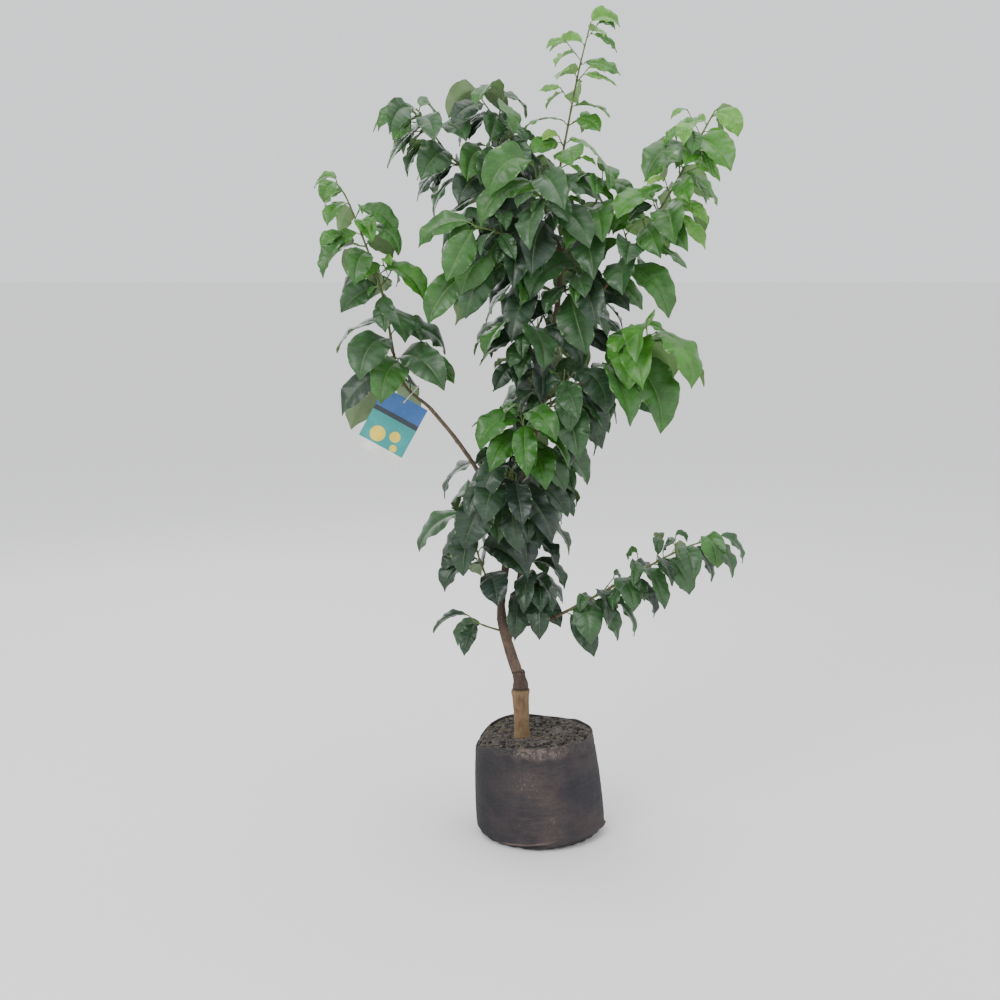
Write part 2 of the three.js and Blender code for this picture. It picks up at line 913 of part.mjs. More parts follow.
function piece(name, geometry, kind) {
  geometry.computeVertexNormals();
  const mesh = new THREE.Mesh(geometry, new THREE.MeshStandardMaterial({ metalness: 0, ...SKINS[kind] }));
  mesh.name = name;
  return mesh;
}

const sapling = new THREE.Group();
const rootBall = new THREE.Group();
const limbs = new THREE.Group();
const crown = new THREE.Group();
const tag = new THREE.Group();
sapling.add(rootBall, limbs, crown, tag);

rootBall.add(piece('root_ball_bag', bag(), 'bag'), piece('root_ball_soil', soil(), 'soil'));

// The trunk comes first, and each bough is cut clear of it
const taken = new Taken();
const trunk = new Axis(TRUNK.route);
const boughs = BOUGHS.map(({ route, radii }) => new Axis(route, radii));
const trunkRoom = solid(tube(trunk, TRUNK.sides, TRUNK_STEP, CLEAR));
const boughRooms = boughs.map((axis) => solid(tube(axis, BOUGH_SIDES, TRUNK_STEP, CLEAR)));
limbs.add(piece('trunk', tube(trunk, TRUNK.sides, TRUNK_STEP), 'bark'));
boughs.forEach((axis, k) => {
  const bough = solid(tube(axis, BOUGH_SIDES, TRUNK_STEP)).subtract(trunkRoom);
  limbs.add(piece(BOUGHS[k].name, surface(bough), 'bark'));
});
for (const axis of [trunk, ...boughs]) {
  for (let distance = 0; distance < axis.length; distance += LIMB_SAMPLE) {
    const { here, radius } = axis.at(distance);
    taken.add([here], radius);
  }
}

// The tag and every stem have their places before any leaf grows
const tagged = MASSES.find(({ name }) => name === TAG.mass);
const place = tiePlace(new Axis(tagged.stem, tagged.radii));
taken.add(tagPoints(place), 0);

const stems = MASSES.map(({ name, stem, radii }) => {
  const axis = new Axis(stem, radii);
  taken.add(axis.line, TWIG_MARGIN, name);
  return solid(tube(axis, TWIG_SIDES, TWIG_STEP));
});

// Each mass is its stem, twigs and leaves joined in one body, cut clear of the limbs. A twig or leaf
// that would still meet another mass between its sample points is left out.
const grown = [];
MASSES.forEach((mass, k) => {
  const { axes, leaves } = grow(mass, taken);
  const twigs = axes.slice(1);
  const others = [...grown, ...stems.slice(k + 1)];
  let body = stems[k];
  const parts = [
    ...twigs.map((twig) => tube(twig, TWIG_SIDES, TWIG_STEP)),
    ...leaves.map((leaf) => leaf.geometry()),
  ];
  for (const part of parts.map(solid)) {
    if (others.every((other) => other.minGap(part, CLEAR) >= CLEAR)) body = body.add(part);
  }
  for (const room of [trunkRoom, ...boughRooms]) body = body.subtract(room);
  grown.push(body);
  crown.add(piece(mass.name, surface(body), mass.kind));
  for (const twig of twigs) taken.add(twig.line, TWIG_MARGIN);
  for (const leaf of leaves) taken.add(leaf.samples(), 0);
});

// The card hangs by the top of its hole from the wire of the tie, which runs slanting through it
const hanger = new THREE.Group();
const hung = piece('tag_card', card(), 'card');
hanger.position.copy(place.wire);
hanger.rotation.y = TAG.slope;
hung.rotation.x = Math.PI / 2;
hung.position.set(0, TAG.thick / 2, TAG.wire + 2 * CLEAR - TAG.hole);
hanger.add(hung);
const tie = piece('tag_tie', new THREE.TorusGeometry(TAG.tie, TAG.wire, 5, TAG.tieSteps), 'tie');
const back = new THREE.Vector3(0, 1, 0);
tie.position.copy(place.middle);
tie.setRotationFromMatrix(new THREE.Matrix4().makeBasis(place.down, back, place.down.clone().cross(back)));
tag.add(hanger, tie);

export default sapling;
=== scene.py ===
"""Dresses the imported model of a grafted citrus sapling: felt bag, soil, bark, leaves and care card.

Run as a script inside Blender. Places and sizes are millimetres, as in the part's source, until a
mesh is made. The leaves grow by the same rule as in the source, so they lie where its solids are.
"""

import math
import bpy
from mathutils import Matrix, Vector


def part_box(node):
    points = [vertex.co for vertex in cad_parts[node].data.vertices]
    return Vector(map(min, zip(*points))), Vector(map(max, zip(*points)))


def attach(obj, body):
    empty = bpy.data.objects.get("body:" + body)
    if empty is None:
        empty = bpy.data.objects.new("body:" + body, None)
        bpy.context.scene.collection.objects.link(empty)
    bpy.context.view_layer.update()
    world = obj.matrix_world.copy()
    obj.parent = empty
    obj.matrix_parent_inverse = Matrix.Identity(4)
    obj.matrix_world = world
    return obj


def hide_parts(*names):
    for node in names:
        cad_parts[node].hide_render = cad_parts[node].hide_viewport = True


bl_info = {
    "name": "Citrus Sapling",
    "version": (1, 0, 0),
    "blender": (4, 5, 0),
    "location": "3D View > Sidebar > Sapling",
    "description": "Dresses a grafted citrus sapling in a fabric root bag",
    "category": "Add Mesh",
}

import bpy
import numpy as np
from mathutils import Vector, noise

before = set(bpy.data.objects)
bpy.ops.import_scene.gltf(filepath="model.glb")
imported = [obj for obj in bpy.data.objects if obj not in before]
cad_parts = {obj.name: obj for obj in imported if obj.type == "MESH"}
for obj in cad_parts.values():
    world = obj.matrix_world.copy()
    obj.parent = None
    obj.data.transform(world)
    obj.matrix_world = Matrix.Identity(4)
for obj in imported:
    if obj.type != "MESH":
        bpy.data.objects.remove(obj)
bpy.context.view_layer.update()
METRES = 0.001

# Root bag, in millimetres, as in the part's source
SOIL_LEVEL = 160.0
BAG_FOOT = 108.0
BAG_TOP = 99.0
BAG_BULGE = 3.5
BAG_LEAN = 13.0
BAG_SAG = 24.0
BAG_PRESS = 7.0
BAG_PRESS_AT = math.radians(152)
BAG_PRESS_WIDE = 0.42
BAG_LUMP = 1.6
BAG_LUMPS = ((3, 1.0), (5, 0.6))
BAG_RIM = 171.0
BAG_RIM_SLOPE = 1.0
BAG_WALL = 3.0

# Limbs: routes along their axes, with a radius at each point of the trunk's
TRUNK_ROUTE = (
    (-31, 0, SOIL_LEVEL, 13.4), (-31, 0, 182, 12.4), (-33, 0, 225, 13.6), (-34, 0, 242, 14.4),
    (-35, 0, 262, 10.8), (-48, 0, 300, 8.8), (-60, 0, 342, 8.4), (-66, 0, 385, 7),
    (-60, -3, 445, 6.2), (-48, 3, 531, 5.6), (-14, 6, 664, 5.2), (12, 4, 795, 4.6),
    (26, -2, 900, 4.2), (28, 2, 965, 4), (15, 4, 998, 3.6),
)
GRAFT_HEIGHT = 244.0
KNOB_HEIGHT = 271.0
BOUGHS = {
    "bough_right_lower": ((4, 2.8), ((-60, 0, 348), (-40, -9, 356), (-10, -20, 362), (24, -32, 376))),
    "bough_leader_right": ((4.8, 3.4), ((-55, 0, 320), (-50, 9, 338), (-45, 14, 358), (-40, 19, 400),
                                        (-33, 26, 451), (-30, 28, 485))),
    "bough_left": ((4.2, 3.2), ((-57, -2, 470), (-76, 4, 530), (-91, 8, 581), (-108, 12, 617),
                                (-142, 18, 666), (-183, 22, 715))),
    "bough_right_upper": ((3.8, 2.8), ((16, 3, 815), (38, -10, 845), (60, -18, 866), (94, -26, 906))),
    "bough_mid_right": ((3, 2.4), ((2, 5, 730), (48, -24, 752), (91, -50, 779))),
    "bough_upper_left": ((3.4, 2.6), ((17, 4, 990), (-20, 12, 1014), (-56, 20, 1041))),
}

# Growth rule, as in the part's source
ROUTE_STEPS = 6
GOLDEN_ANGLE = math.radians(137.5)
LIMB_SAMPLE = 6.0
TWIG_MARGIN = 1.5
LEAF_CLEAR = 8.0
OWN_CLEAR = 5.0
BLADE_START = 2
BACK_SIDE = 172.0
CROWN_TOP = 1345.0
LAST_TWIG = 0.92
TWIG_SPREAD = (0.2, 0.8)
TWIG_SWING = (-0.5, 0.5)
TWIG_REACH = (0.65, 1.0)
TWIG_LEAN = 0.55
TWIG_LIFT = 0.2
TWIG_TAPER = (0.75, 0.8)
TWIG_BARE = 0.3
TWIG_TURN = 2.4
TRIES = 3
TRY_TURN = 0.9
END_REACH = 2.0
LEAN = (0.9, 1.5)
LEAN_AT_END = 0.5
LIFT = (0.0, 0.35)
LENGTH = (0.85, 1.12)
WIDTH = (0.4, 0.58)
DROOP = (0.75, 1.15)
LIGHT = (-1.5, 1.5)
GAP = (0.8, 1.2)
STALK = 0.14
BEND = 0.65
STEEP = 0.9
NUDGE = 1e-3
STALK_SAMPLE = 0.6
FACING = (0.5, 0.7, 0.35)
STATIONS = ((0.0, 0.12), (0.27, 0.95), (0.66, 0.88), (1.0, 0.0))

# Finer growth, which only this script makes: small side shoots among the leaves of each mass.
# Leaves and thickness are shares of the mass's own, and the gap between leaves of the shoot's length.
SHOOT_SEED = 1000
SHOOT_SEED_STEP = 7
SHOOT_GAP = 34.0
SHOOT_REACH = (16.0, 38.0)
SHOOT_BARE = 0.4
SHOOT_THICK = 0.5
SHOOT_TIP = 0.7
SHOOT_LEAF = (0.72, 0.5)
SHOOT_LEAF_GAP = 0.45
SHOOT_CLEAR = 4.0

# Owners of taken points are numbers of masses. Points of limbs and leaves belong to nobody, and the
# other number belongs to no point, so that none is left out.
NOBODY = -1
NONE_LEFT_OUT = -2

# Foliage masses in the order in which they grow. Tones run from 0, dark, to 6, bright yellow green.
MASSES = [
    dict(name="foliage_top", seed=134, tones=(3.8, 5.0),
         stem=[(15, 4, 998), (11, 8, 1021), (30, 18, 1111), (54, 18, 1238), (73, 6, 1318)],
         radii=(3.2, 1.0), leaf=(96, 66), gap=24, droop=42, bare=0.1),
    dict(name="foliage_right_upper", seed=17, tones=(2.4, 5.2),
         stem=[(94, -26, 906), (125, -32, 947), (194, -36, 1051), (249, -30, 1152), (266, -26, 1182)],
         radii=(2.7, 1.0), leaf=(112, 60), gap=16, droop=66, bare=0.1, twigs=4, twig_length=48),
    dict(name="foliage_left", seed=59, tones=(1.1, 4.2),
         stem=[(-183, 22, 715), (-232, 22, 767), (-260, 14, 907), (-307, 0, 1040), (-327, -6, 1075)],
         radii=(3.0, 1.0), leaf=(134, 54), gap=18, droop=68, bare=0.1, twigs=3, twig_length=40),
    dict(name="foliage_right_lower", seed=195, tones=(0.9, 2.1),
         stem=[(24, -32, 376), (100, -50, 422), (215, -68, 492), (278, -74, 516)],
         radii=(2.6, 1.0), leaf=(92, 66), gap=15, droop=80, bare=0.06),
    dict(name="foliage_mid_right", seed=295, tones=(3.3, 4.3),
         stem=[(91, -50, 779), (133, -74, 812), (165, -90, 838)],
         radii=(2.3, 1.2), leaf=(128, 116), gap=13, droop=74, bare=0.1),
    dict(name="foliage_young_front", seed=191, tones=(2.7, 3.4),
         stem=[(-27, 6, 614), (-29, -40, 650), (-32, -80, 686), (-32, -104, 706)],
         radii=(2.4, 1.2), leaf=(84, 92), gap=11, droop=62, bare=0.6),
    dict(name="foliage_upper_left", seed=3, tones=(1.2, 2.8),
         stem=[(-56, 20, 1041), (-97, 30, 1079), (-150, 38, 1122), (-200, 40, 1192)],
         radii=(2.4, 1.1), leaf=(96, 80), gap=15, droop=66, bare=0.15, twigs=3, twig_length=60),
    dict(name="foliage_upper_mid", seed=97, tones=(1.0, 2.6),
         stem=[(-46, 18, 1033), (-66, 24, 1100), (-72, 18, 1160), (-64, 10, 1206)],
         radii=(2.2, 1.1), leaf=(92, 74), gap=13, droop=68, bare=0.25, twigs=3, twig_length=50),
    dict(name="foliage_small_shoot", seed=281, tones=(1.6, 2.4),
         stem=[(-37, 5, 585), (-62, -1, 628), (-73, -6, 667), (-66, -10, 698), (-63, -12, 718)],
         radii=(1.9, 0.9), leaf=(70, 40), gap=26, droop=30, bare=0.45),
    dict(name="foliage_low_left", seed=240, tones=(0.2, 1.2),
         stem=[(-66, -1, 397), (-84, -12, 425), (-100, -22, 466), (-112, -26, 512), (-120, -24, 561)],
         radii=(2.4, 1.1), leaf=(92, 94), gap=15, droop=76, bare=0.3),
    dict(name="foliage_low_twig", seed=175, tones=(0.6, 1.4),
         stem=[(-61, -1, 343), (-92, -10, 355), (-112, -18, 366)],
         radii=(2.0, 1.2), leaf=(80, 70), gap=20, droop=66, bare=0.6),
    dict(name="foliage_crown_front", seed=266, tones=(0.8, 2.8),
         stem=[(18, -2, 990), (2, -40, 1036), (-12, -70, 1082)],
         radii=(2.5, 1.3), leaf=(114, 108), gap=14, droop=62, bare=0.15),
    dict(name="foliage_crown_left", seed=161, tones=(1.0, 2.6),
         stem=[(25, 3, 975), (-30, -30, 985), (-76, -50, 1000), (-107, -58, 1006)],
         radii=(2.5, 1.3), leaf=(108, 102), gap=15, droop=68, bare=0.15, twigs=1, twig_length=50),
    dict(name="foliage_crown_right", seed=79, tones=(1.2, 3.2),
         stem=[(28, 0, 966), (56, -8, 996), (82, -14, 1040), (94, -10, 1080)],
         radii=(2.5, 1.3), leaf=(114, 106), gap=15, droop=64, bare=0.1, twigs=1, twig_length=50),
    dict(name="foliage_crown_back", seed=270, tones=(0.8, 2.2),
         stem=[(28, 1, 948), (10, 50, 985), (-20, 95, 1030)],
         radii=(2.5, 1.3), leaf=(104, 94), gap=16, droop=64, bare=0.2, twigs=2, twig_length=60),
    dict(name="foliage_shoulder_left", seed=103, tones=(0.8, 2.4),
         stem=[(26, -2, 900), (-30, -16, 930), (-85, -30, 960)],
         radii=(2.4, 1.2), leaf=(108, 100), gap=15, droop=70, bare=0.15, twigs=2, twig_length=50),
    dict(name="foliage_shoulder_right", seed=200, tones=(1.2, 3.0),
         stem=[(26, -4, 902), (58, -28, 918), (84, -44, 945)],
         radii=(2.4, 1.2), leaf=(104, 96), gap=14, droop=68, bare=0.15, twigs=1, twig_length=50),
    dict(name="foliage_inner_right", seed=6, tones=(0.8, 2.4),
         stem=[(20, 4, 840), (52, 14, 868), (84, 30, 905)],
         radii=(2.3, 1.2), leaf=(96, 92), gap=15, droop=70, bare=0.2, twigs=1, twig_length=50),
    dict(name="foliage_inner_left", seed=142, tones=(0.8, 2.4),
         stem=[(13, 4, 798), (-20, -24, 835), (-50, -42, 868)],
         radii=(2.3, 1.2), leaf=(108, 100), gap=15, droop=70, bare=0.15, twigs=1, twig_length=50),
    dict(name="foliage_inner_back", seed=56, tones=(0.6, 2.0),
         stem=[(13, 4, 802), (14, 50, 830), (0, 95, 880)],
         radii=(2.3, 1.2), leaf=(104, 96), gap=16, droop=68, bare=0.15, twigs=2, twig_length=60),
    dict(name="foliage_centre_front", seed=10, tones=(0.6, 2.0),
         stem=[(-6, 6, 698), (22, -36, 735), (40, -72, 770)],
         radii=(2.3, 1.2), leaf=(98, 92), gap=13, droop=76, bare=0.15, twigs=2, twig_length=50),
    dict(name="foliage_centre_right", seed=241, tones=(0.8, 2.2),
         stem=[(-1, 6, 718), (40, 34, 735), (80, 50, 765)],
         radii=(2.3, 1.2), leaf=(98, 92), gap=14, droop=74, bare=0.15, twigs=2, twig_length=50),
    dict(name="foliage_centre_left", seed=248, tones=(0.6, 1.8),
         stem=[(0, 6, 738), (-24, 16, 772), (-42, 20, 812)],
         radii=(2.1, 1.1), leaf=(84, 78), gap=14, droop=64, bare=0.15, twigs=1, twig_length=40),
    dict(name="foliage_centre_back", seed=119, tones=(0.6, 2.0),
         stem=[(-8, 6, 690), (-8, 60, 715), (-30, 105, 750)],
         radii=(2.3, 1.2), leaf=(102, 94), gap=15, droop=70, bare=0.15, twigs=2, twig_length=60),
    dict(name="foliage_leader_right", seed=23, tones=(0.2, 1.4),
         stem=[(-30, 28, 485), (-18, 32, 535), (-5, 38, 590), (8, 42, 635)],
         radii=(3.0, 1.2), leaf=(92, 88), gap=13, droop=76, bare=0.05, twigs=3, twig_length=55),
    dict(name="foliage_low_front", seed=151, tones=(0.2, 1.4),
         stem=[(-43, 4, 556), (-44, -40, 590), (-50, -76, 622)],
         radii=(2.3, 1.2), leaf=(108, 100), gap=13, droop=78, bare=0.1, twigs=2, twig_length=50),
    dict(name="foliage_low_back", seed=69, tones=(0.3, 1.4),
         stem=[(-46, 3, 541), (-62, 55, 570), (-90, 95, 610)],
         radii=(2.3, 1.2), leaf=(100, 92), gap=16, droop=70, bare=0.15, twigs=2, twig_length=55),
    dict(name="foliage_low_right", seed=48, tones=(0.3, 1.3),
         stem=[(-38, 20, 405), (-20, 0, 414), (-4, -22, 424)],
         radii=(2.1, 1.2), leaf=(88, 80), gap=14, droop=78, bare=0.15, twigs=1, twig_length=40),
]

# Care card and its wire tie, as in the part's source
TAG_MASS = "foliage_left"
TAG_ALONG = 38.0
TAG_WIDTH = 80.0
TAG_HEIGHT = 104.0
TAG_THICK = 0.6
TAG_SLOPE = math.radians(29.0)
TAG_HOLE = 2.6
TAG_MARGIN = 7.0
TAG_AHEAD = 10.0
TAG_GRID = (10, 13)
TAG_DROP = 1.4
TIE_RADIUS = 12.0
TIE_WIRE = 0.8
TIE_HANG = 7.0
TIE_FORWARD = 3.0
TIE_STEPS = 16

UP = np.array([0.0, 0.0, 1.0])
FRONT = np.array([0.0, -1.0, 0.0])


def unit(vector):
    return vector / math.sqrt(float(vector @ vector))


def cross(a, b):
    return np.array([a[1] * b[2] - a[2] * b[1], a[2] * b[0] - a[0] * b[2], a[0] * b[1] - a[1] * b[0]])


def mix(first, second, share):
    return first + (second - first) * share


class Draw:
    """Repeatable random numbers, the same as in the part's source."""

    factor = 16807
    modulus = 2147483647
    warm_up = 3

    def __init__(self, seed):
        self.state = seed
        for _ in range(self.warm_up):
            self.next()

    def next(self):
        self.state = self.state * self.factor % self.modulus
        return self.state / self.modulus

    def between(self, span):
        return span[0] + (span[1] - span[0]) * self.next()


class Axis:
    """The line of a limb, stem or twig, smooth along its route, with a radius that tapers."""

    def __init__(self, route, radii=None, steps=ROUTE_STEPS):
        self.radii = list(radii) if radii else [point[3] for point in route]
        points = [np.array(point[:3], float) for point in route]
        ends = [2 * points[0] - points[1], 2 * points[-1] - points[-2]]
        reach = [ends[0], *points, ends[1]]
        self.line = [points[0]]
        for before, a, b, after in zip(reach, reach[1:], reach[2:], reach[3:]):
            leave, arrive = (b - before) / 2, (after - a) / 2
            for k in range(1, steps + 1):
                u = k / steps
                self.line.append(a + leave * u + (3 * (b - a) - 2 * leave - arrive) * u * u
                                 + (2 * (a - b) + leave + arrive) * u ** 3)
        self.run = [0.0]
        for a, b in zip(self.line, self.line[1:]):
            self.run.append(self.run[-1] + math.dist(a, b))
        self.length = self.run[-1]

    def at(self, distance):
        """The place at a distance from the foot, the way the axis takes there, and its radius."""
        k = 1
        while k < len(self.run) - 1 and self.run[k] < distance:
            k += 1
        u = (distance - self.run[k - 1]) / (self.run[k] - self.run[k - 1])
        a, b = self.line[k - 1], self.line[k]
        return mix(a, b, u), unit(b - a), self.radius_at(k - 1 + u)

    def radius_at(self, step):
        place = step * (len(self.radii) - 1) / (len(self.line) - 1)
        k = min(len(self.radii) - 2, int(place))
        return mix(self.radii[k], self.radii[k + 1], place - k)


def outward(way, angle):
    """The way out from an axis, at an angle round it that starts on its upper side."""
    side = unit(cross(way, UP if abs(way[2]) < STEEP else FRONT))
    return side * math.sin(angle) + cross(side, way) * math.cos(angle)


class Leaf:
    """A blade on a short stalk, which bends towards the ground and whose middle faces the light."""

    def __init__(self, root, stalk, length, width, droop, light):
        flat = unit(np.array([stalk[0], stalk[1] - NUDGE, 0.0]))
        end = flat * math.cos(droop) - UP * math.sin(droop)
        to_light = np.array([math.sin(light), -math.cos(light), 0.0])
        facing = UP * FACING[0] + to_light * FACING[1] + flat * FACING[2]
        self.root, self.stalk, self.length, self.width = root, stalk, length, width
        self.middles, self.across = [root + stalk * (STALK * length)], []
        level = unit(cross(self.way(stalk, end, 0.5), facing))
        before, last = None, 0.0
        for place, _ in STATIONS:
            way = self.way(stalk, end, place)
            if before is not None:
                self.middles.append(self.middles[-1] + unit(way + before) * (length * (place - last)))
            self.across.append(unit(level - way * float(level @ way)))
            before, last = way, place
        self.points = self.samples()

    def way(self, stalk, end, place):
        return unit(stalk * (BEND * (1 - place)) + end * (1 - BEND * (1 - place)))

    def samples(self):
        """Points all over the stalk and the blade."""
        halves = [side * (self.width / 2 * share) for side, (_, share) in zip(self.across, STATIONS)]
        rows = [(m, m + half, m - half) for m, half in zip(self.middles, halves)]
        points = [mix(self.root, self.middles[0], STALK_SAMPLE)]
        for row, following in zip(rows, rows[1:]):
            for u in (0, 1 / 3, 2 / 3):
                points += [mix(a, b, u) for a, b in zip(row, following)]
        return np.array(points + [self.middles[-1]])


def near(points, margins, others, gap):
    """Whether any of the points lies nearer than the gap and its own margin to one of the others."""
    if not len(points):
        return False
    apart = np.sqrt(((points[:, None, :] - others[None, :, :]) ** 2).sum(2))
    return bool((apart < gap + margins[:, None]).any())


class Taken:
    """The points that are taken, each with its own margin and, on a stem, the mass it belongs to."""

    def __init__(self):
        self.points, self.margins, self.owners = np.zeros((0, 3)), np.zeros(0), np.zeros(0)

    def add(self, points, margin=0.0, owner=NOBODY):
        self.points = np.concatenate([self.points, np.asarray(points)])
        self.margins = np.concatenate([self.margins, np.full(len(points), margin)])
        self.owners = np.concatenate([self.owners, np.full(len(points), owner)])

    def near(self, others, gap, owner=NONE_LEFT_OUT):
        """Whether a point comes near the others, apart from the points of one owner."""
        reach = gap + max(TRUNK_ROUTE[0][3], TWIG_MARGIN)
        low, high = others.min(0) - reach, others.max(0) + reach
        close = ((self.points > low) & (self.points < high)).all(1) & (self.owners != owner)
        return near(self.points[close], self.margins[close], others, gap)


def grow(mass, taken, owner, clear=LEAF_CLEAR, own_clear=OWN_CLEAR, room=None):
    """Grows one mass: its stem, twigs and leaves, each skipped where it would touch something."""
    draw = Draw(mass["seed"])
    stem = Axis(mass["stem"], mass["radii"])
    bare, twigs = mass["bare"], mass.get("twigs", 0)
    axes = [stem]
    for k in range(twigs):
        share = bare + (LAST_TWIG - bare) * (k + draw.between(TWIG_SPREAD)) / twigs
        here, way, radius = stem.at(stem.length * share)
        out = outward(way, k * GOLDEN_ANGLE + draw.between(TWIG_SWING))
        reach = mass["twig_length"] * draw.between(TWIG_REACH)
        first = unit(way * TWIG_LEAN + out)
        end = here + first * reach + UP * (TWIG_LIFT * reach)
        radii = (radius * TWIG_TAPER[0], mass["radii"][1] * TWIG_TAPER[1])
        twig = Axis([here, here + first * (reach / 2), end], radii)
        if not taken.near(np.array(twig.line[3:]), LEAF_CLEAR, owner):
            axes.append(twig)
    leaves = []
    for k, axis in enumerate(axes):
        distance = axis.length * (TWIG_BARE if k else bare)
        turn = k * TWIG_TURN + draw.between((0, 2 * math.pi))
        last = False
        while not last:
            last = distance > axis.length - END_REACH
            here, way, _ = axis.at(distance)
            along = min(1.0, distance / axis.length)
            size = mix(*mass["leaf"], along)
            for attempt in range(TRIES):
                out = outward(way, turn + attempt * TRY_TURN)
                lean = LEAN_AT_END if last else draw.between(LEAN)
                stalk = unit(way + out * lean + UP * draw.between(LIFT))
                length = size * draw.between(LENGTH)
                width = length * draw.between(WIDTH)
                droop = math.radians(mass["droop"] * draw.between(DROOP))
                leaf = Leaf(here, stalk, length, width, droop, draw.between(LIGHT))
                if fits(leaf, leaves, axes, taken, owner, clear, own_clear, room):
                    leaf.tone = mix(*mass["tones"], along)
                    leaves.append(leaf)
                    break
            distance = min(axis.length, distance + mass["gap"] * draw.between(GAP))
            turn += GOLDEN_ANGLE
    return axes, leaves


def fits(leaf, leaves, axes, taken, owner, clear, own_clear, room):
    """A leaf stays in its room, clear of limbs and other masses, and its blade clear of its own."""
    points = leaf.points
    if (points[:, 1] > BACK_SIDE).any() or (points[:, 2] > CROWN_TOP).any():
        return False
    if room is not None and ((points < room[0]) | (points > room[1])).any():
        return False
    if taken.near(points[1:], clear, owner):
        return False
    lines = [np.array(axis.line) for axis in axes] + [other.points[BLADE_START:] for other in leaves]
    own = np.concatenate(lines)
    return not near(own, np.zeros(len(own)), points[BLADE_START:], own_clear)


def tag_place():
    """The middle of the tie, the way down from the stem, and the tie's wire in the card's hole."""
    mass = next(mass for mass in MASSES if mass["name"] == TAG_MASS)
    here, way, _ = Axis(mass["stem"], mass["radii"]).at(TAG_ALONG)
    down = unit(cross(way, np.array([0.0, 1.0, 0.0])))
    middle = here + down * TIE_HANG + FRONT * TIE_FORWARD
    depth = TAG_AHEAD - TIE_FORWARD
    wire = middle + down * math.sqrt(TIE_RADIUS ** 2 - depth ** 2) + FRONT * depth
    return middle, down, wire


def tag_points():
    """Points over the card and round the tie, which the leaves keep clear of."""
    middle, down, wire = tag_place()
    right, up = tag_ways()
    columns, rows = TAG_GRID
    points = []
    for i in range(columns + 1):
        for j in range(rows + 1):
            rise = TAG_MARGIN - TAG_HEIGHT * j / rows
            points.append(wire + up * rise + right * (TAG_WIDTH * (i / columns - 0.5)))
    for k in range(TIE_STEPS):
        angle = k / TIE_STEPS * 2 * math.pi
        turned = down * (TIE_RADIUS * math.cos(angle)) - FRONT * (TIE_RADIUS * math.sin(angle))
        points.append(middle + turned)
    return np.array(points)


def tag_ways():
    """The card's ways to the right and up."""
    right = np.array([math.cos(TAG_SLOPE), 0.0, -math.sin(TAG_SLOPE)])
    return right, np.array([math.sin(TAG_SLOPE), 0.0, math.cos(TAG_SLOPE)])


def whole_crown():
    """Every mass as its axes and leaves: first what the solids have, then the finer shoots."""
    taken = Taken()
    limbs = [Axis(TRUNK_ROUTE)] + [Axis(route, radii) for radii, route in BOUGHS.values()]
    for axis in limbs:
        distance = 0.0
        while distance < axis.length:
            here, _, radius = axis.at(distance)
            taken.add([here], radius)
            distance += LIMB_SAMPLE
    taken.add(tag_points())
    for owner, mass in enumerate(MASSES):
        taken.add(Axis(mass["stem"], mass["radii"]).line, TWIG_MARGIN, owner)
    crown = {}
    for owner, mass in enumerate(MASSES):
        axes, leaves = grow(mass, taken, owner)
        crown[mass["name"]] = (axes, leaves)
        for twig in axes[1:]:
            taken.add(twig.line, TWIG_MARGIN)
        for leaf in leaves:
            taken.add(leaf.points)
    for owner, mass in enumerate(MASSES):
        axes, leaves = crown[mass["name"]]
        shoots, small = finer(mass, axes, taken)
        crown[mass["name"]] = (axes + shoots, leaves + small)
    return crown


def finer(mass, axes, taken):
    """Short side shoots with smaller leaves, within the reach of the mass's own solid."""
    draw = Draw(mass["seed"] + SHOOT_SEED)
    low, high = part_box(mass["name"])
    room = (np.array(low) / METRES, np.array(high) / METRES)
    shoots, small = [], []
    for axis in axes:
        distance = axis.length * mass["bare"] + SHOOT_GAP * draw.next()
        while distance < axis.length:
            here, way, radius = axis.at(distance)
            out = outward(way, draw.between((0, 2 * math.pi)))
            reach = draw.between(SHOOT_REACH)
            first = unit(way * TWIG_LEAN + out)
            end = here + first * reach + UP * (TWIG_LIFT * reach)
            shoot = dict(mass, seed=mass["seed"] + len(shoots) * SHOOT_SEED_STEP + int(distance),
                         twigs=0, bare=SHOOT_BARE, gap=reach * SHOOT_LEAF_GAP,
                         stem=[here, mix(here, end, 0.5), end],
                         radii=(radius * SHOOT_THICK, SHOOT_TIP),
                         leaf=[size * share for size, share in zip(mass["leaf"], SHOOT_LEAF)])
            twig, leaves = grow(shoot, taken, NONE_LEFT_OUT, SHOOT_CLEAR, SHOOT_CLEAR, room)
            if leaves:
                shoots += twig
                small += leaves
                for leaf in leaves:
                    taken.add(leaf.points)
            distance += SHOOT_GAP
    return shoots, small


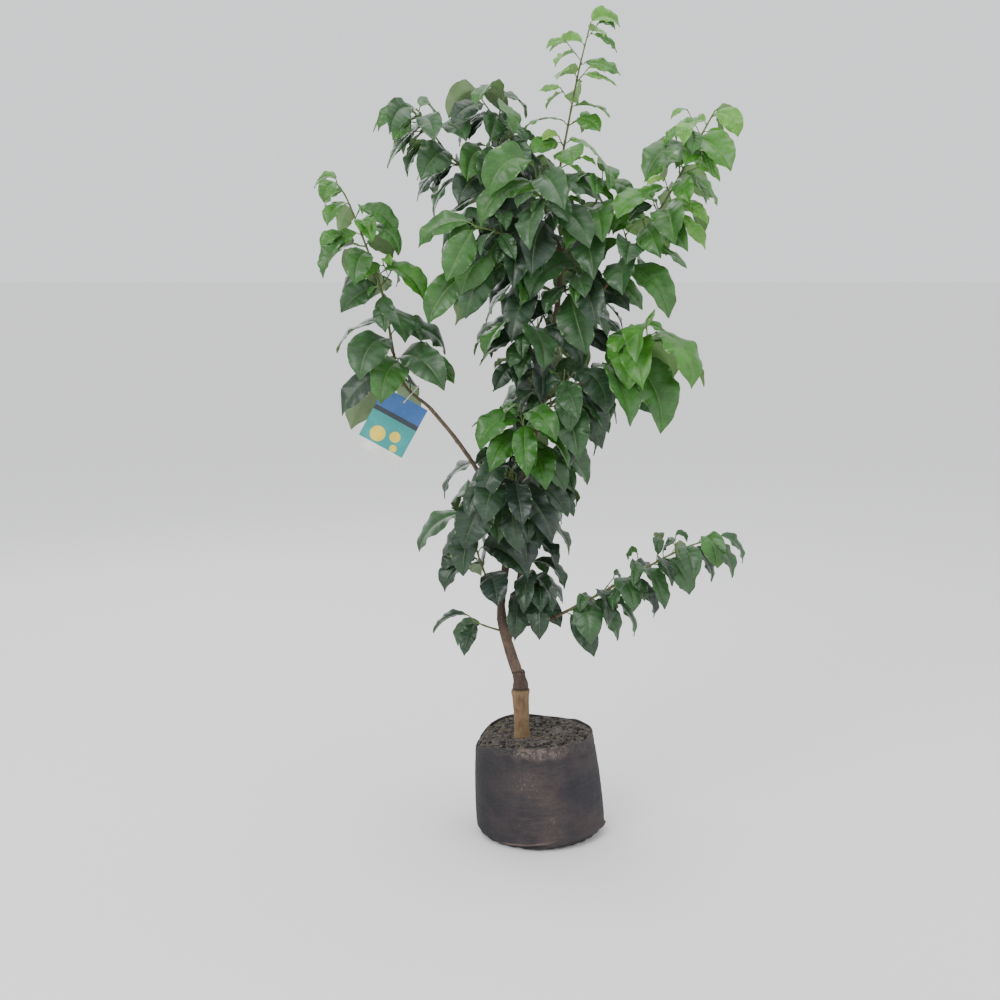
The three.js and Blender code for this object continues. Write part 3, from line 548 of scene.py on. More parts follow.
class Shape:
    """Collects grids of points as quads, each face with the number of its material."""

    def __init__(self):
        self.points, self.faces, self.slots, self.count = [], [], [], 0

    def grid(self, points, slot=0, around=False, turned=False):
        """Adds rows of points. Each row closes on itself if it goes around."""
        rows, columns = points.shape[:2]
        index = np.arange(rows * columns).reshape(rows, columns) + self.count
        if around:
            index = np.concatenate([index, index[:, :1]], 1)
        quads = np.stack([index[:-1, :-1], index[:-1, 1:], index[1:, 1:], index[1:, :-1]], -1)
        if turned:
            quads = quads[..., ::-1]
        self.slots.append(np.broadcast_to(slot, quads.shape[:2]).reshape(-1))
        self.faces.append(quads.reshape(-1, 4))
        self.points.append(points.reshape(-1, 3))
        self.count += rows * columns

    def make(self, name, materials, slot, nodes=()):
        """Makes the piece, which rides on the plant and stands for the CAD nodes that are named."""
        points = np.concatenate(self.points) * METRES
        faces = np.concatenate(self.faces)
        mesh = bpy.data.meshes.new(name)
        mesh.vertices.add(len(points))
        mesh.vertices.foreach_set("co", points.ravel())
        mesh.loops.add(faces.size)
        mesh.loops.foreach_set("vertex_index", faces.ravel())
        mesh.polygons.add(len(faces))
        mesh.polygons.foreach_set("loop_start", np.arange(0, faces.size, 4))
        mesh.polygons.foreach_set("material_index", np.concatenate(self.slots).astype(np.int32))
        mesh.update(calc_edges=True)
        mesh.shade_smooth()
        for material in materials:
            mesh.materials.append(material)
        piece = bpy.data.objects.new(name, mesh)
        bpy.context.scene.collection.objects.link(piece)
        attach(piece, "root")
        if nodes:
            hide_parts(*nodes)


# A tube's closed ends, as a share of its radius there, and a way that no tube runs along
TUBE_END = 0.02
OFF_AXIS = (0.3, 1.0, 0.2)


def tube(shape, line, radii, sides, slot=0, relief=None, flatness=1.0):
    """A tapering tube along a line, closed by a fine point at each end."""
    line = np.asarray(line)
    ways = np.gradient(line, axis=0)
    ways /= np.linalg.norm(ways, axis=1)[:, None]
    normal = np.array(OFF_AXIS)
    angles = ring_angles(sides)
    rings = []
    for k, (middle, way) in enumerate(zip(line, ways)):
        normal = unit(normal - way * float(normal @ way))
        across = cross(way, normal)
        reach = np.full(sides, float(radii[k]))
        if relief is not None:
            reach = reach + relief[k]
        rings.append(middle + np.outer(reach * np.cos(angles) * flatness, normal)
                     + np.outer(reach * np.sin(angles), across))
    rings.insert(0, mix(rings[0].mean(0), rings[0], TUBE_END))
    rings.append(mix(rings[-1].mean(0), rings[-1], TUBE_END))
    if not np.isscalar(slot):
        slot = np.concatenate([slot[:1], slot, slot[-1:]])[:-1, None]
    shape.grid(np.array(rings), slot, around=True)


def ring_angles(sides):
    """Equal angles round a circle."""
    return np.arange(sides) / sides * 2 * math.pi


def ripple(x, y, z, seed=0.0):
    """Smooth noise from -1 to 1 at each of the places given by three arrays."""
    x, y, z = np.broadcast_arrays(x, y, z)
    flat = zip(x.ravel(), y.ravel(), z.ravel())
    return np.array([noise.noise(Vector((a + seed, b, c))) for a, b, c in flat]).reshape(x.shape)


def bump(x, width):
    """A smooth bump of height 1 round zero."""
    return np.exp(-(x / width) ** 2)


class Socket:
    """A value in a material's nodes, on which Python's operators work."""

    def __init__(self, finish, link):
        self.finish, self.link = finish, link

    def math(self, operation, *values):
        inputs = dict(enumerate((self, *values)))
        return self.finish.node("ShaderNodeMath", {"operation": operation}, inputs)

    def __add__(self, other):
        return self.math("ADD", other)

    def __sub__(self, other):
        return self.math("SUBTRACT", other)

    def __rsub__(self, other):
        return self.math("MULTIPLY", -1.0).math("ADD", other)

    def __mul__(self, other):
        return self.math("MULTIPLY", other)

    __radd__ = __add__
    __rmul__ = __mul__

    def clear(self, low, high):
        """0 below low, 1 above high, and a smooth step between them."""
        settings = {"interpolation_type": "SMOOTHSTEP"}
        return self.finish.node("ShaderNodeMapRange", settings, {"Value": self, 1: low, 2: high})

    def line(self, width):
        """1 where the value is zero, fading smoothly to 0 at the width on either side."""
        return (1 - self * self * width ** -2).clear(0.0, 1.0)


class Finish:
    """A material and the nodes that are added to it."""

    # How rough every noise is
    grain = 0.55

    def __init__(self, name, roughness=0.5, **constants):
        self.material = bpy.data.materials.new(name)
        self.material.use_nodes = True
        self.tree = self.material.node_tree
        self.shader = self.tree.nodes["Principled BSDF"]
        self.set("Roughness", roughness)
        for key, value in constants.items():
            self.set(key.replace("_", " ").title(), value)

    def set(self, key, value):
        """Sets an input of the shader, or links a socket to it."""
        self.feed(self.shader.inputs[key], value)

    def feed(self, socket, value):
        if isinstance(value, Socket):
            self.tree.links.new(value.link, socket)
        else:
            socket.default_value = value

    def node(self, kind, settings=None, inputs=None, output=0):
        """Adds any other node, its settings first, and gives one of its outputs."""
        node = self.tree.nodes.new(kind)
        for key, value in (settings or {}).items():
            setattr(node, key, value)
        for key, value in (inputs or {}).items():
            self.feed(node.inputs[key], value)
        return Socket(self, node.outputs[output])

    def place(self, stretch=(1, 1, 1)):
        """The place in the row's frame, in metres, stretched along its axes."""
        here = self.node("ShaderNodeTexCoord", output="Object")
        return self.node("ShaderNodeMapping", {}, {"Vector": here, "Scale": stretch})

    def along(self, axis):
        """How far a place lies along one axis of the row's frame, in metres."""
        return self.node("ShaderNodeSeparateXYZ", {}, {0: self.place()}, axis)

    def noise(self, scale, detail=3.0, stretch=(1, 1, 1)):
        inputs = {"Vector": self.place(stretch), "Scale": scale, "Detail": detail, "Roughness": self.grain}
        return self.node("ShaderNodeTexNoise", {}, inputs)

    def blend(self, share, first, second):
        """A colour between two others."""
        inputs = {0: share, 6: first, 7: second}
        return self.node("ShaderNodeMix", {"data_type": "RGBA"}, inputs, 2)

    def relief(self, height, distance, strength=0.6):
        """Feeds a height, in metres where it is 1, to the shader's normal."""
        inputs = {"Strength": strength, "Distance": distance, "Height": height}
        self.set("Normal", self.node("ShaderNodeBump", {}, inputs))


def colour(red, green, blue):
    """A base colour from the 0 to 255 values seen on a screen."""
    def linear(value):
        share = value / 255
        return share / 12.92 if share <= 0.04045 else ((share + 0.055) / 1.055) ** 2.4
    return (linear(red), linear(green), linear(blue), 1.0)


def shaded(base, *shares):
    """A colour made darker or lighter, by one share or by one for each of its three values."""
    shares = shares if len(shares) == 3 else shares * 3
    return [value * share for value, share in zip(base[:3], shares)] + [1]


def colour_property(name, description, red, green, blue):
    return bpy.props.FloatVectorProperty(name=name, description=description, subtype="COLOR", size=4,
                                         min=0, max=1, default=colour(red, green, blue))


def length_property(name, description, metres):
    return bpy.props.FloatProperty(name=name, description=description, default=metres, min=0,
                                   subtype="DISTANCE", unit="LENGTH")


class SaplingBag(bpy.types.PropertyGroup):
    felt: colour_property("Felt", "Colour of the clean felt", 47, 45, 51)
    patch: colour_property("Patches", "Colour of the brown patches in the felt", 66, 52, 54)
    dust: colour_property("Dust", "Colour of the dried soil on the felt", 92, 79, 74)
    crust: colour_property("Crust", "Colour of the soil that dried on below the rim", 122, 108, 98)
    # Left side: painted shade, a darker colour laid over the felt towards its left
    shade: colour_property("Left side", "Colour of the felt's darker left side", 31, 29, 33)
    # Folds: painted highlight, a pale line along the ridge of each fold at the front of the foot
    fold: colour_property("Folds", "Colour of the worn folds at the front of the foot", 134, 114, 104)
    # Grooves: painted shade, a dark line in the groove below each fold and under the hem
    groove_shade: colour_property("Grooves", "Colour of the grooves below the folds and the hem", 24, 22, 25)
    speck: colour_property("Specks", "Colour of the pale specks of soil", 168, 152, 138)
    wrinkle: length_property("Wrinkle", "Depth of the wrinkles in the felt", 0.0012)
    dent: length_property("Dent", "Depth of the broad dents in the bag's side", 0.0018)


class SaplingSoil(bpy.types.PropertyGroup):
    earth: colour_property("Earth", "Colour of the dry soil", 97, 90, 86)
    damp: colour_property("Damp", "Colour of the soil in its hollows", 56, 52, 50)
    pale: colour_property("Pale crumbs", "Colour of the palest crumbs", 112, 104, 97)
    moss: colour_property("Moss", "Colour of the moss on the soil", 74, 84, 52)
    fleck: colour_property("Flecks", "Colour of the pale flecks in the soil", 164, 150, 130)
    stalk: colour_property("Stalks", "Colour of the dry stalks", 138, 124, 102)
    chip: colour_property("Chips", "Colour of the chips of bark", 80, 64, 52)
    crumb: length_property("Crumb", "Radius of the largest crumbs", 0.0048)
    crumbs: bpy.props.IntProperty(name="Crumbs", description="Number of loose crumbs",
                                  default=1500, min=0)
    chips: bpy.props.IntProperty(name="Slivers", description="Number of stalks and chips",
                                 default=150, min=0)


class SaplingBark(bpy.types.PropertyGroup):
    rootstock: colour_property("Rootstock", "Colour of the bark below the graft", 127, 103, 75)
    scar: colour_property("Rootstock scars", "Colour of the dark bark below the graft", 88, 64, 38)
    trunk: colour_property("Trunk", "Colour of the bark above the graft", 71, 54, 47)
    dark: colour_property("Trunk scars", "Colour of the dark bark above the graft", 50, 37, 33)
    # Bend: painted highlight, a lighter colour for the lit stretch of the trunk from above the knob to its
    # bend
    shoot: colour_property("Bend", "Colour of the smoother bark at the trunk's bend", 98, 79, 65)
    upper: colour_property("Upper trunk", "Colour of the young bark higher up", 104, 92, 70)
    seam: colour_property("Seams", "Colour of the seams at the graft and the knob", 38, 29, 25)
    pore: colour_property("Pores", "Colour of the bark's pores", 184, 160, 116)
    relief: length_property("Relief", "Depth of the bark's lumps", 0.0007)


class SaplingLeaves(bpy.types.PropertyGroup):
    rib: colour_property("Rib", "Colour of the midribs and stalks", 138, 160, 84)
    under: colour_property("Underside", "Colour that the undersides take on", 146, 168, 118)
    woody: colour_property("Brown twigs", "Colour of the thickest twigs", 96, 82, 58)
    olive: colour_property("Olive twigs", "Colour of the thinner twigs", 92, 98, 52)
    green: colour_property("Green twigs", "Colour of the thinnest twigs", 96, 122, 56)
    gloss: bpy.props.FloatProperty(name="Roughness", description="Roughness of the upper faces",
                                   default=0.34, min=0.05, max=1)
    wave: length_property("Wave", "Depth of the waves along the margins", 0.0034)
    quilt: length_property("Quilt", "Height of the blade between its side veins", 0.0008)


class SaplingTag(bpy.types.PropertyGroup):
    top: colour_property("Top", "Colour of the upper field", 34, 92, 158)
    band: colour_property("Band", "Colour of the dark band", 30, 42, 52)
    field: colour_property("Field", "Colour of the lower field", 38, 142, 140)
    card: colour_property("Card", "Colour of the bare card", 226, 226, 220)
    spot: colour_property("Spot", "Colour of the round spots", 222, 196, 66)
    wire: colour_property("Wire", "Colour of the tie's coated wire", 224, 224, 218)
    curl: length_property("Curl", "How far the card's corners bend forward", 0.004)


class SaplingStage(bpy.types.PropertyGroup):
    floor: colour_property("Ground", "Colour of the plain ground", 244, 243, 241)
    sky: bpy.props.FloatProperty(name="Sky", description="Strength of the light from all around",
                                 default=1.32, min=0)
    camera: bpy.props.FloatVectorProperty(name="Camera", description="Place of the camera", subtype="XYZ",
                                          unit="LENGTH", default=(-0.068, -2.435, 0.957))
    pitch: bpy.props.FloatProperty(name="Pitch", description="How far the camera looks down",
                                   subtype="ANGLE", default=math.radians(9.14))
    lens: bpy.props.FloatProperty(name="Lens", description="Focal length in millimetres", default=54.0)


# Tones of the upper faces of leaves, from old to young, and at the end the lush green that only the
# front cluster of soft new leaves has. Then the kind of leaf that has each tone, how far a leaf's
# own tone strays, and how much of the rib's or the underside's colour each part takes on.
TONES = (colour(26, 44, 34), colour(34, 58, 37), colour(46, 80, 42), colour(54, 100, 38),
         colour(62, 118, 32), colour(90, 148, 50), colour(128, 172, 74), colour(40, 93, 16))
TONE_KINDS = ("mature", "mature", "mature", "fresh", "fresh", "young", "young", "young")
TONE_SPREAD = 0.45
VEIN_PALE = 0.08
RIB_PALE = (0.12, 0.36)
UNDER_PALE = 0.4
LUSH_MASS, LUSH = "foliage_young_front", 7
LEAF_SEED = 7
LEAVES_A_PIECE = 135

# The blade's grid: places across it, with a narrow strip for the midrib, and rows that follow its
# side veins, each vein a narrow strip between two rows
COLUMNS = np.array([-1, -0.87, -0.7, -0.5, -0.3, -0.12, -0.022, 0.022, 0.12, 0.3, 0.5, 0.7, 0.87, 1])
BASE_ROWS = (0.0, 0.03, 0.07, 0.1)
VEIN_ROWS = (0.0, 0.09, 0.32, 0.56, 0.8)
TIP_ROWS = (0.985, 1.0)
VEINS = 8
VEIN_SLANT = 0.1
VEIN_REACH = 0.8
MIDRIB = 0.02
UNDER_STEP = 2
BLADE_THICK = 1.2
FACE, RIB, UNDERSIDE, VEIN = range(4)

# The blade's outline, as powers of its sine curve and shares of its length and width
WIDEST = (0.88, 0.1)
ROUNDNESS = 0.76
TIP_START = 0.8
TIP_RUN = 0.18
TIP_DRAWN = 0.42
THINNEST = 0.01
SCALLOPS = 15
SCALLOP = 0.014
SWEEP = 0.09

# The blade's form. A pair is a usual value and how far a leaf's own quirk may change it.
FOLD = (0.38, 0.26)
CUP = 0.22
WAVES = 2.2
WAVE_SHIFT = 0.25
RUFFLES = 4.6
RUFFLE = 0.5
WAVED_LENGTH = 105
WAVE_LIMIT = 1.1
QUILT_ROUND = 0.6
QUILT_RISE = 5
GROOVE_DEEP = 0.3
GROOVE_WIDE = 0.1
CURL = (0.05, 0.06)
CURL_START = 0.55
CURL_RUN = 0.2

# The stalk: its radius for a leaf's length, its hang, and its thickness from end to end
STALK_THICK = (0.009, 0.25)
STALK_HANG = 0.03
STALK_SHAPE = np.array([1.25, 0.9, 0.8, 0.85, 1.1, 1.2])
STALK_FLAT = 0.8
STALK_SIDES = 6


def blade_width(place, quirk=0.0):
    """The blade's share of its full width: a round base, widest near its middle, and a drip tip."""
    tip = np.clip((place - TIP_START) / TIP_RUN, 0, 1)
    power = WIDEST[0] + WIDEST[1] * quirk
    round_end = np.maximum(np.sin(math.pi * place ** power), 0) ** ROUNDNESS
    return round_end * (1 - TIP_DRAWN * tip * tip * (3 - 2 * tip)) + THINNEST


def blade_rows():
    """Where the rows lie along the midrib, and whether a vein runs between each and the next."""
    places, veins = list(BASE_ROWS), [False] * len(BASE_ROWS)
    half_vein = VEIN_ROWS[1] / 2
    for k in range(1, VEINS):
        places += [(k + step - half_vein) / VEINS for step in VEIN_ROWS]
        veins += [step == 0 for step in VEIN_ROWS]
    return np.array(places + list(TIP_ROWS)), np.array(veins + [False])


ROWS, ROW_VEINS = blade_rows()


def midrib(leaf, place):
    """At shares of a blade's length, the midrib's points and way, and the blade's way across it."""
    stations = np.array([station for station, _ in STATIONS])
    cubic = np.linalg.solve(np.vander(stations, 4), np.array(leaf.middles))
    powers = np.stack([place ** 3, place ** 2, place, 0 * place + 1], -1)
    slopes = np.stack([3 * place ** 2, 2 * place, 0 * place + 1, 0 * place], -1)
    way = slopes @ cubic
    way /= np.linalg.norm(way, axis=-1, keepdims=True)
    across = np.stack([np.interp(place, stations, side) for side in np.array(leaf.across).T], -1)
    across -= way * (across * way).sum(-1, keepdims=True)
    across /= np.linalg.norm(across, axis=-1, keepdims=True)
    return powers @ cubic, way, across


def blade_points(leaf, quirk, settings):
    """The points of the upper face of a leaf, row by row, and the way out of the face at its midrib."""
    ruffle_start, curl, wave_start, fold, sweep, outline = quirk
    v = COLUMNS[None, :]
    t = ROWS[:, None] + VEIN_SLANT * np.abs(v) * np.sin(math.pi * ROWS[:, None])
    middle, way, across = midrib(leaf, t)
    face = np.cross(across, way)
    half = leaf.width / 2 * blade_width(t, outline)
    ends = np.sin(math.pi * t) ** 0.5
    phase = VEINS * ROWS[:, None] % 1
    quilt = np.sin(math.pi * phase) ** QUILT_ROUND * np.minimum(1, np.abs(v) * QUILT_RISE) * (1 - v ** 4)
    turns = (WAVES + curl) * t + wave_start + WAVE_SHIFT * np.sign(v)
    waves = np.sin(2 * math.pi * turns) * v ** 2
    turns = (RUFFLES + fold) * t + ruffle_start * np.sign(v)
    waves = waves + RUFFLE * (np.sin(2 * math.pi * turns) * np.abs(v) ** 3)
    lift = half * ((FOLD[0] + FOLD[1] * fold) * np.abs(v) - CUP * v ** 2)
    lift = lift + settings.quilt / METRES * quilt * ends
    share = min(WAVE_LIMIT, leaf.length / WAVED_LENGTH)
    lift = lift + settings.wave / METRES * share * waves * ends
    lift = lift - GROOVE_DEEP * (np.abs(v) < GROOVE_WIDE) * ends
    bend = np.maximum(0, t - CURL_START) ** 2
    lift = lift - leaf.length * (CURL[0] + CURL[1] * curl) * bend / CURL_RUN
    scallop = 1 + SCALLOP * np.sin(2 * math.pi * (SCALLOPS * t + wave_start))
    side = half * v * scallop + leaf.width * SWEEP * sweep * np.sin(math.pi * t)
    return middle + across * side[..., None] + face * lift[..., None], face[:, len(COLUMNS) // 2]


def add_leaf(shape, leaf, quirk, settings):
    """A leaf's upper face, its paler underside and its stalk."""
    points, face = blade_points(leaf, quirk, settings)
    middle = np.abs((COLUMNS[:-1] + COLUMNS[1:]) / 2)
    veins = ROW_VEINS[:, None] & (middle < VEIN_REACH)
    shape.grid(points, np.where(middle < MIDRIB, RIB, np.where(veins, VEIN, FACE)), turned=True)
    rows = np.r_[0:len(ROWS) - 1:UNDER_STEP, len(ROWS) - 1]
    columns = np.r_[0:len(COLUMNS) - 1:UNDER_STEP, len(COLUMNS) - 1]
    depth = BLADE_THICK * (1 - COLUMNS[columns] ** 4)
    below = points[np.ix_(rows, columns)] - face[rows][:, None] * depth[None, :, None]
    shape.grid(below, UNDERSIDE)
    steps = len(STALK_SHAPE)
    line = np.array([mix(leaf.root, leaf.middles[0], u) for u in np.linspace(0, 1, steps)])
    line[:, 2] -= STALK_HANG * leaf.length * np.sin(np.linspace(0, math.pi, steps)) * quirk[-1]
    thick = leaf.length * STALK_THICK[0] + STALK_THICK[1]
    tube(shape, line, thick * STALK_SHAPE, STALK_SIDES, RIB, flatness=STALK_FLAT)


class SAPLING_OT_foliage(bpy.types.Operator):
    """Grows the leaves and twigs of every mass"""

    bl_idname = "sapling.foliage"
    bl_label = "Foliage"

    # Twigs: the length of a step, the swelling at a leaf's foot, the least radii of brown and olive
    # wood, and how the edge between two kinds of wood strays
    twig_step = 4
    twig_sides = 8
    swelling = 0.35
    swelling_wide = 3.5
    brown_wood = 2.5
    olive_wood = 1.7
    age_swing, age_close = 0.12, 0.2
    # Buds in the leaf's axil: how far they reach, and their radii
    bud_out = 4
    bud_up = 1.6
    bud_places = (0.2, 0.5, 0.8, 1)
    bud_radii = (0.8, 1.2, 0.9, 0.3)
    bud_sides = 6

    def execute(self, context):
        settings = context.scene.sapling_leaves
        crown = whole_crown()
        self.leaves(crown, settings)
        self.twigs(crown, settings)
        return {"FINISHED"}

    def leaves(self, crown, settings):
        """The leaves of each tone, in one piece or more, each with its own face, rib and underside."""
        draw = np.random.default_rng(LEAF_SEED)
        tones, pieces = [0] * len(TONES), {}
        for name, (_, leaves) in crown.items():
            for leaf in leaves:
                tone = int(np.clip(round(leaf.tone + draw.normal(0, TONE_SPREAD)), 0, LUSH - 1))
                tone = LUSH if name == LUSH_MASS else tone
                shape, names = pieces.setdefault((tone, tones[tone] // LEAVES_A_PIECE), (Shape(), set()))
                add_leaf(shape, leaf, draw.uniform(-1, 1, 6), settings)
                names.add(name)
                tones[tone] += 1
        materials = [leaf_materials(tone, settings) for tone in range(len(TONES))]
        for (tone, part), (shape, names) in sorted(pieces.items()):
            kind = "leaves_" + TONE_KINDS[tone]
            shape.make(f"leaves_{tone}_{part}", materials[tone], kind, sorted(names))

    def twigs(self, crown, settings):
        """The stems and side twigs of all masses, brown at the foot and green towards the tips."""
        shape = Shape()
        for axes, leaves in crown.values():
            for axis in axes:
                self.twig(shape, axis, leaves)
            for leaf in leaves:
                tip = leaf.root + leaf.stalk * self.bud_out + UP * self.bud_up
                line = np.array([mix(leaf.root, tip, u) for u in self.bud_places])
                tube(shape, line, self.bud_radii, self.bud_sides, 2)
        materials = [twig_material("woody_twig", settings.woody, 0.7),
                     twig_material("olive_twig", settings.olive, 0.6),
                     twig_material("green_twig", settings.green, 0.5)]
        shape.make("crown_twigs", materials, "bark", sorted(crown))

    def twig(self, shape, axis, leaves):
        """A stem or twig, which swells where a leaf stands on it."""
        steps = range(len(axis.run))
        run = np.linspace(0, axis.length, max(8, int(axis.length / self.twig_step)))
        line = np.array([np.interp(run, axis.run, side) for side in np.array(axis.line).T]).T
        radii = np.array([axis.radius_at(np.interp(distance, axis.run, steps)) for distance in run])
        for leaf in leaves:
            beside = np.linalg.norm(line - leaf.root, axis=1)
            radii = radii + self.swelling * bump(beside, self.swelling_wide)
        age = radii + self.age_swing * np.sin(run * self.age_close)
        wood = np.where(age > self.brown_wood, 0, np.where(age > self.olive_wood, 1, 2))
        tube(shape, line, radii, self.twig_sides, wood)


def leaf_materials(tone, settings):
    """The upper face of a tone, its midrib, its underside and its side veins."""
    base = TONES[tone]
    veined, dull, pale = ([mix(a, b, share) for a, b in zip(base, settings.rib)]
                          for share in (VEIN_PALE, *RIB_PALE))
    upper = upper_face(f"leaf_face_{tone}", list(base), settings)
    veins = upper_face(f"leaf_vein_{tone}", veined, settings)
    rib = Finish(f"leaf_rib_{tone}", 0.45)
    rib.set("Base Color", rib.blend(rib.noise(90, 2), dull, pale))
    under = Finish(f"leaf_under_{tone}", 0.62)
    matt = [mix(a, b, UNDER_PALE) for a, b in zip(base, settings.under)]
    under.set("Base Color", under.blend(under.noise(70, 3), matt, shaded(matt, 1.25)))
    under.relief(under.noise(400, 3), 0.0004, 0.4)
    return [upper, rib.material, under.material, veins]


def upper_face(name, base, settings):
    """Glossy green in soft clouds and fine specks."""
    upper = Finish(name, settings.gloss)
    cloudy = upper.noise(38, 4).clear(0.3, 0.72)
    speckled = upper.noise(420, 2).clear(0.42, 0.62)
    mottled = cloudy * 0.75 + speckled * 0.25
    upper.set("Base Color", upper.blend(mottled, shaded(base, 0.68), shaded(base, 1.25, 1.3, 1.35)))
    upper.set("Roughness", settings.gloss + 0.24 * (upper.noise(110, 2) - 0.5))
    upper.relief(upper.noise(650, 3), 0.0004, 0.5)
    return upper.material


def twig_material(name, base, roughness):
    """Young bark with fine streaks along the twig and pale specks."""
    finish = Finish(name, roughness)
    streaks = finish.noise(500, 3, (1, 1, 0.25))
    specks = finish.noise(900, 1).clear(0.66, 0.72)
    wood = finish.blend(streaks.clear(0.3, 0.7), shaded(base, 0.6), base)
    finish.set("Base Color", finish.blend(specks * 0.5, wood, colour(190, 184, 150)))
    finish.relief(streaks, 0.0005)
    return finish.material


def bag_sag(angle):
    """How far the rim and the soil sag at the left end of the bag, as in the part's source."""
    return BAG_SAG * np.maximum(0, -np.cos(angle)) ** 4


def bag_middle(height):
    """Where the bag's middle line, which leans to the left, lies at a height."""
    return -BAG_LEAN * height / BAG_RIM


def bag_ring(angle, height, radius):
    """Points at a radius from the bag's middle line."""
    height = height + 0 * angle
    return np.stack([radius * np.cos(angle) + bag_middle(height), radius * np.sin(angle), height], -1)


def bag_radius(angle, height):
    """Radius of the bag's side, as in the part's source."""
    rise = height / BAG_RIM
    drum = BAG_FOOT + (BAG_TOP - BAG_FOOT) * rise + BAG_BULGE * np.sin(math.pi * rise)
    lumps = sum(share * np.sin(count * angle + 1) for count, share in BAG_LUMPS)
    pressed = BAG_PRESS * rise ** 3 * bump(angle - BAG_PRESS_AT, BAG_PRESS_WIDE)
    return drum + BAG_LUMP * lumps - pressed


class SAPLING_OT_bag(bpy.types.Operator):
    """Makes the felt bag with its rounded foot, its wrinkles, its folded hem and its uneven rim"""

    bl_idname = "sapling.bag"
    bl_label = "Root bag"

    # Rows of points: the underside's insets from the foot's rounding, then how many go round the
    # foot, up the side, over the rim and down the inside
    sides = 240
    foot_round, rim_round = 17.0, 1.5
    underside = (88, 60, 30, 10)
    foot_rows, side_rows, rim_rows, inside_rows = 9, 84, 7, 7
    side_spread = 1.2
    inside_depth = 9
    # The rim: depth, closeness and seed of its waves, and each bump's height, degrees round and width
    rim_waves = (1.6, 2.2, 5)
    rim_bumps = ((2.4, 38, 0.16), (1.2, 140, 0.12))
    # Dents and wrinkles: closeness round the bag, tallness and seed
    dents = (1.3, 60, 11)
    wrinkles = (2.5, 7, 23)
    # Depths from here to the gathers are shares of the wrinkle's. Wrinkles have their least depth,
    # and more of it round one height.
    wrinkled, wrinkled_least, wrinkled_near, wrinkled_wide = 0.5, 0.5, 150, 14
    # Creases: depth, height, their wave's swing, count and start, width, and how far back they reach
    creases = ((1.1, 150, 2.5, 2, 0, 2.4, 1.1), (0.9, 62, 6, 1, 1, 2.6, -0.3))
    # Gathers of the foot: depth, count, unevenness and height
    gathers = (0.9, 26, 3, 16)
    # The hem's loose fold rises over these degrees and ends. A line: how far out, heights, width.
    hem_start, hem_run, hem_end = 262, 60, 352
    hem = ((5.0, 6.0, 17.0, 4.5), (-2.5, -2.0, 7.0, 4.0))
    # Folds at the front of the foot: how far out, height, slope and width, the angle at which they
    # have that height, and the degrees and width of their patch
    foot_folds = ((3.0, 15, 9, 2.6), (-2.2, 10, 9, 2.4), (2.6, 5, -7, 2.4))
    folds_from, folds_at, folds_wide = 4.6, 262, 0.26

    def execute(self, context):
        settings = context.scene.sapling_bag
        angle = ring_angles(self.sides)
        points = []
        for height, inset in self.rows(angle):
            radius = bag_radius(angle, height) - inset
            if np.max(inset) < self.foot_round + 1:
                radius = radius + self.folds(angle, height, settings)
            points.append(bag_ring(angle, height, radius))
        shape = Shape()
        shape.grid(np.array(points), 0, around=True)
        shape.make("felt_bag", [felt_material(settings)], "bag", ["root_ball_bag"])
        return {"FINISHED"}

    def rim(self, angle):
        """Height of the rim: sloping, sagging on the left, with low waves and two bumps."""
        depth, close, seed = self.rim_waves
        rim = BAG_RIM - BAG_RIM_SLOPE * np.sin(angle) + BAG_LUMP * np.sin(4 * angle)
        rim = rim + depth * ripple(close * np.cos(angle), close * np.sin(angle), 0, seed) - bag_sag(angle)
        for height, degrees, width in self.rim_bumps:
            rim = rim + height * bump(angle - math.radians(degrees), width)
        return rim

    def rows(self, angle):
        """Height and inset of each row, from the underside's middle up and over into the bag."""
        brow = self.rim(angle) - self.rim_round
        inside = SOIL_LEVEL - self.inside_depth - bag_sag(angle)
        rows = [(0 * angle, self.foot_round + inset) for inset in self.underside]
        for turn in np.linspace(0, math.pi / 2, self.foot_rows):
            height = self.foot_round * (1 - np.cos(turn)) + 0 * angle
            rows.append((height, self.foot_round * (1 - np.sin(turn))))
        for share in np.linspace(0, 1, self.side_rows)[1:]:
            rows.append((mix(self.foot_round, brow, share ** self.side_spread), 0))
        for turn in np.linspace(0, math.pi, self.rim_rows)[1:-1]:
            rows.append((brow + self.rim_round * np.sin(turn), self.rim_round * (1 - np.cos(turn))))
        for share in np.linspace(0, 1, self.inside_rows):
            rows.append((mix(brow, inside, share), BAG_WALL))
        return rows

    def folds(self, angle, height, settings):
        """How far the felt stands out: dents, level wrinkles, gathers and the folded hem of its foot."""
        x, y = np.cos(angle), np.sin(angle)
        close, tall, seed = self.dents
        dents = settings.dent / METRES * ripple(close * x, close * y, height / tall, seed)
        close, tall, seed = self.wrinkles
        deep = self.wrinkled * (settings.wrinkle / METRES)
        wrinkles = deep * ripple(close * x, close * y, height / tall, seed)
        more = bump(height - self.wrinkled_near, self.wrinkled_wide)
        wrinkles = wrinkles * (self.wrinkled_least + more)
        return dents + wrinkles + self.creased(angle, height, settings) + self.hemmed(angle, height)

    def creased(self, angle, height, settings):
        """The creases that run round the bag, and the gathers of its foot."""
        depth = settings.wrinkle / METRES
        out = 0
        for share, level, swing, count, start, width, back in self.creases:
            line = height - level - swing * np.sin(count * angle + start)
            out = out - share * depth * bump(line, width) * (np.sin(angle) < back)
        share, count, uneven, tall = self.gathers
        return out + share * depth * np.sin(count * angle + uneven * np.cos(angle)) * bump(height, tall)

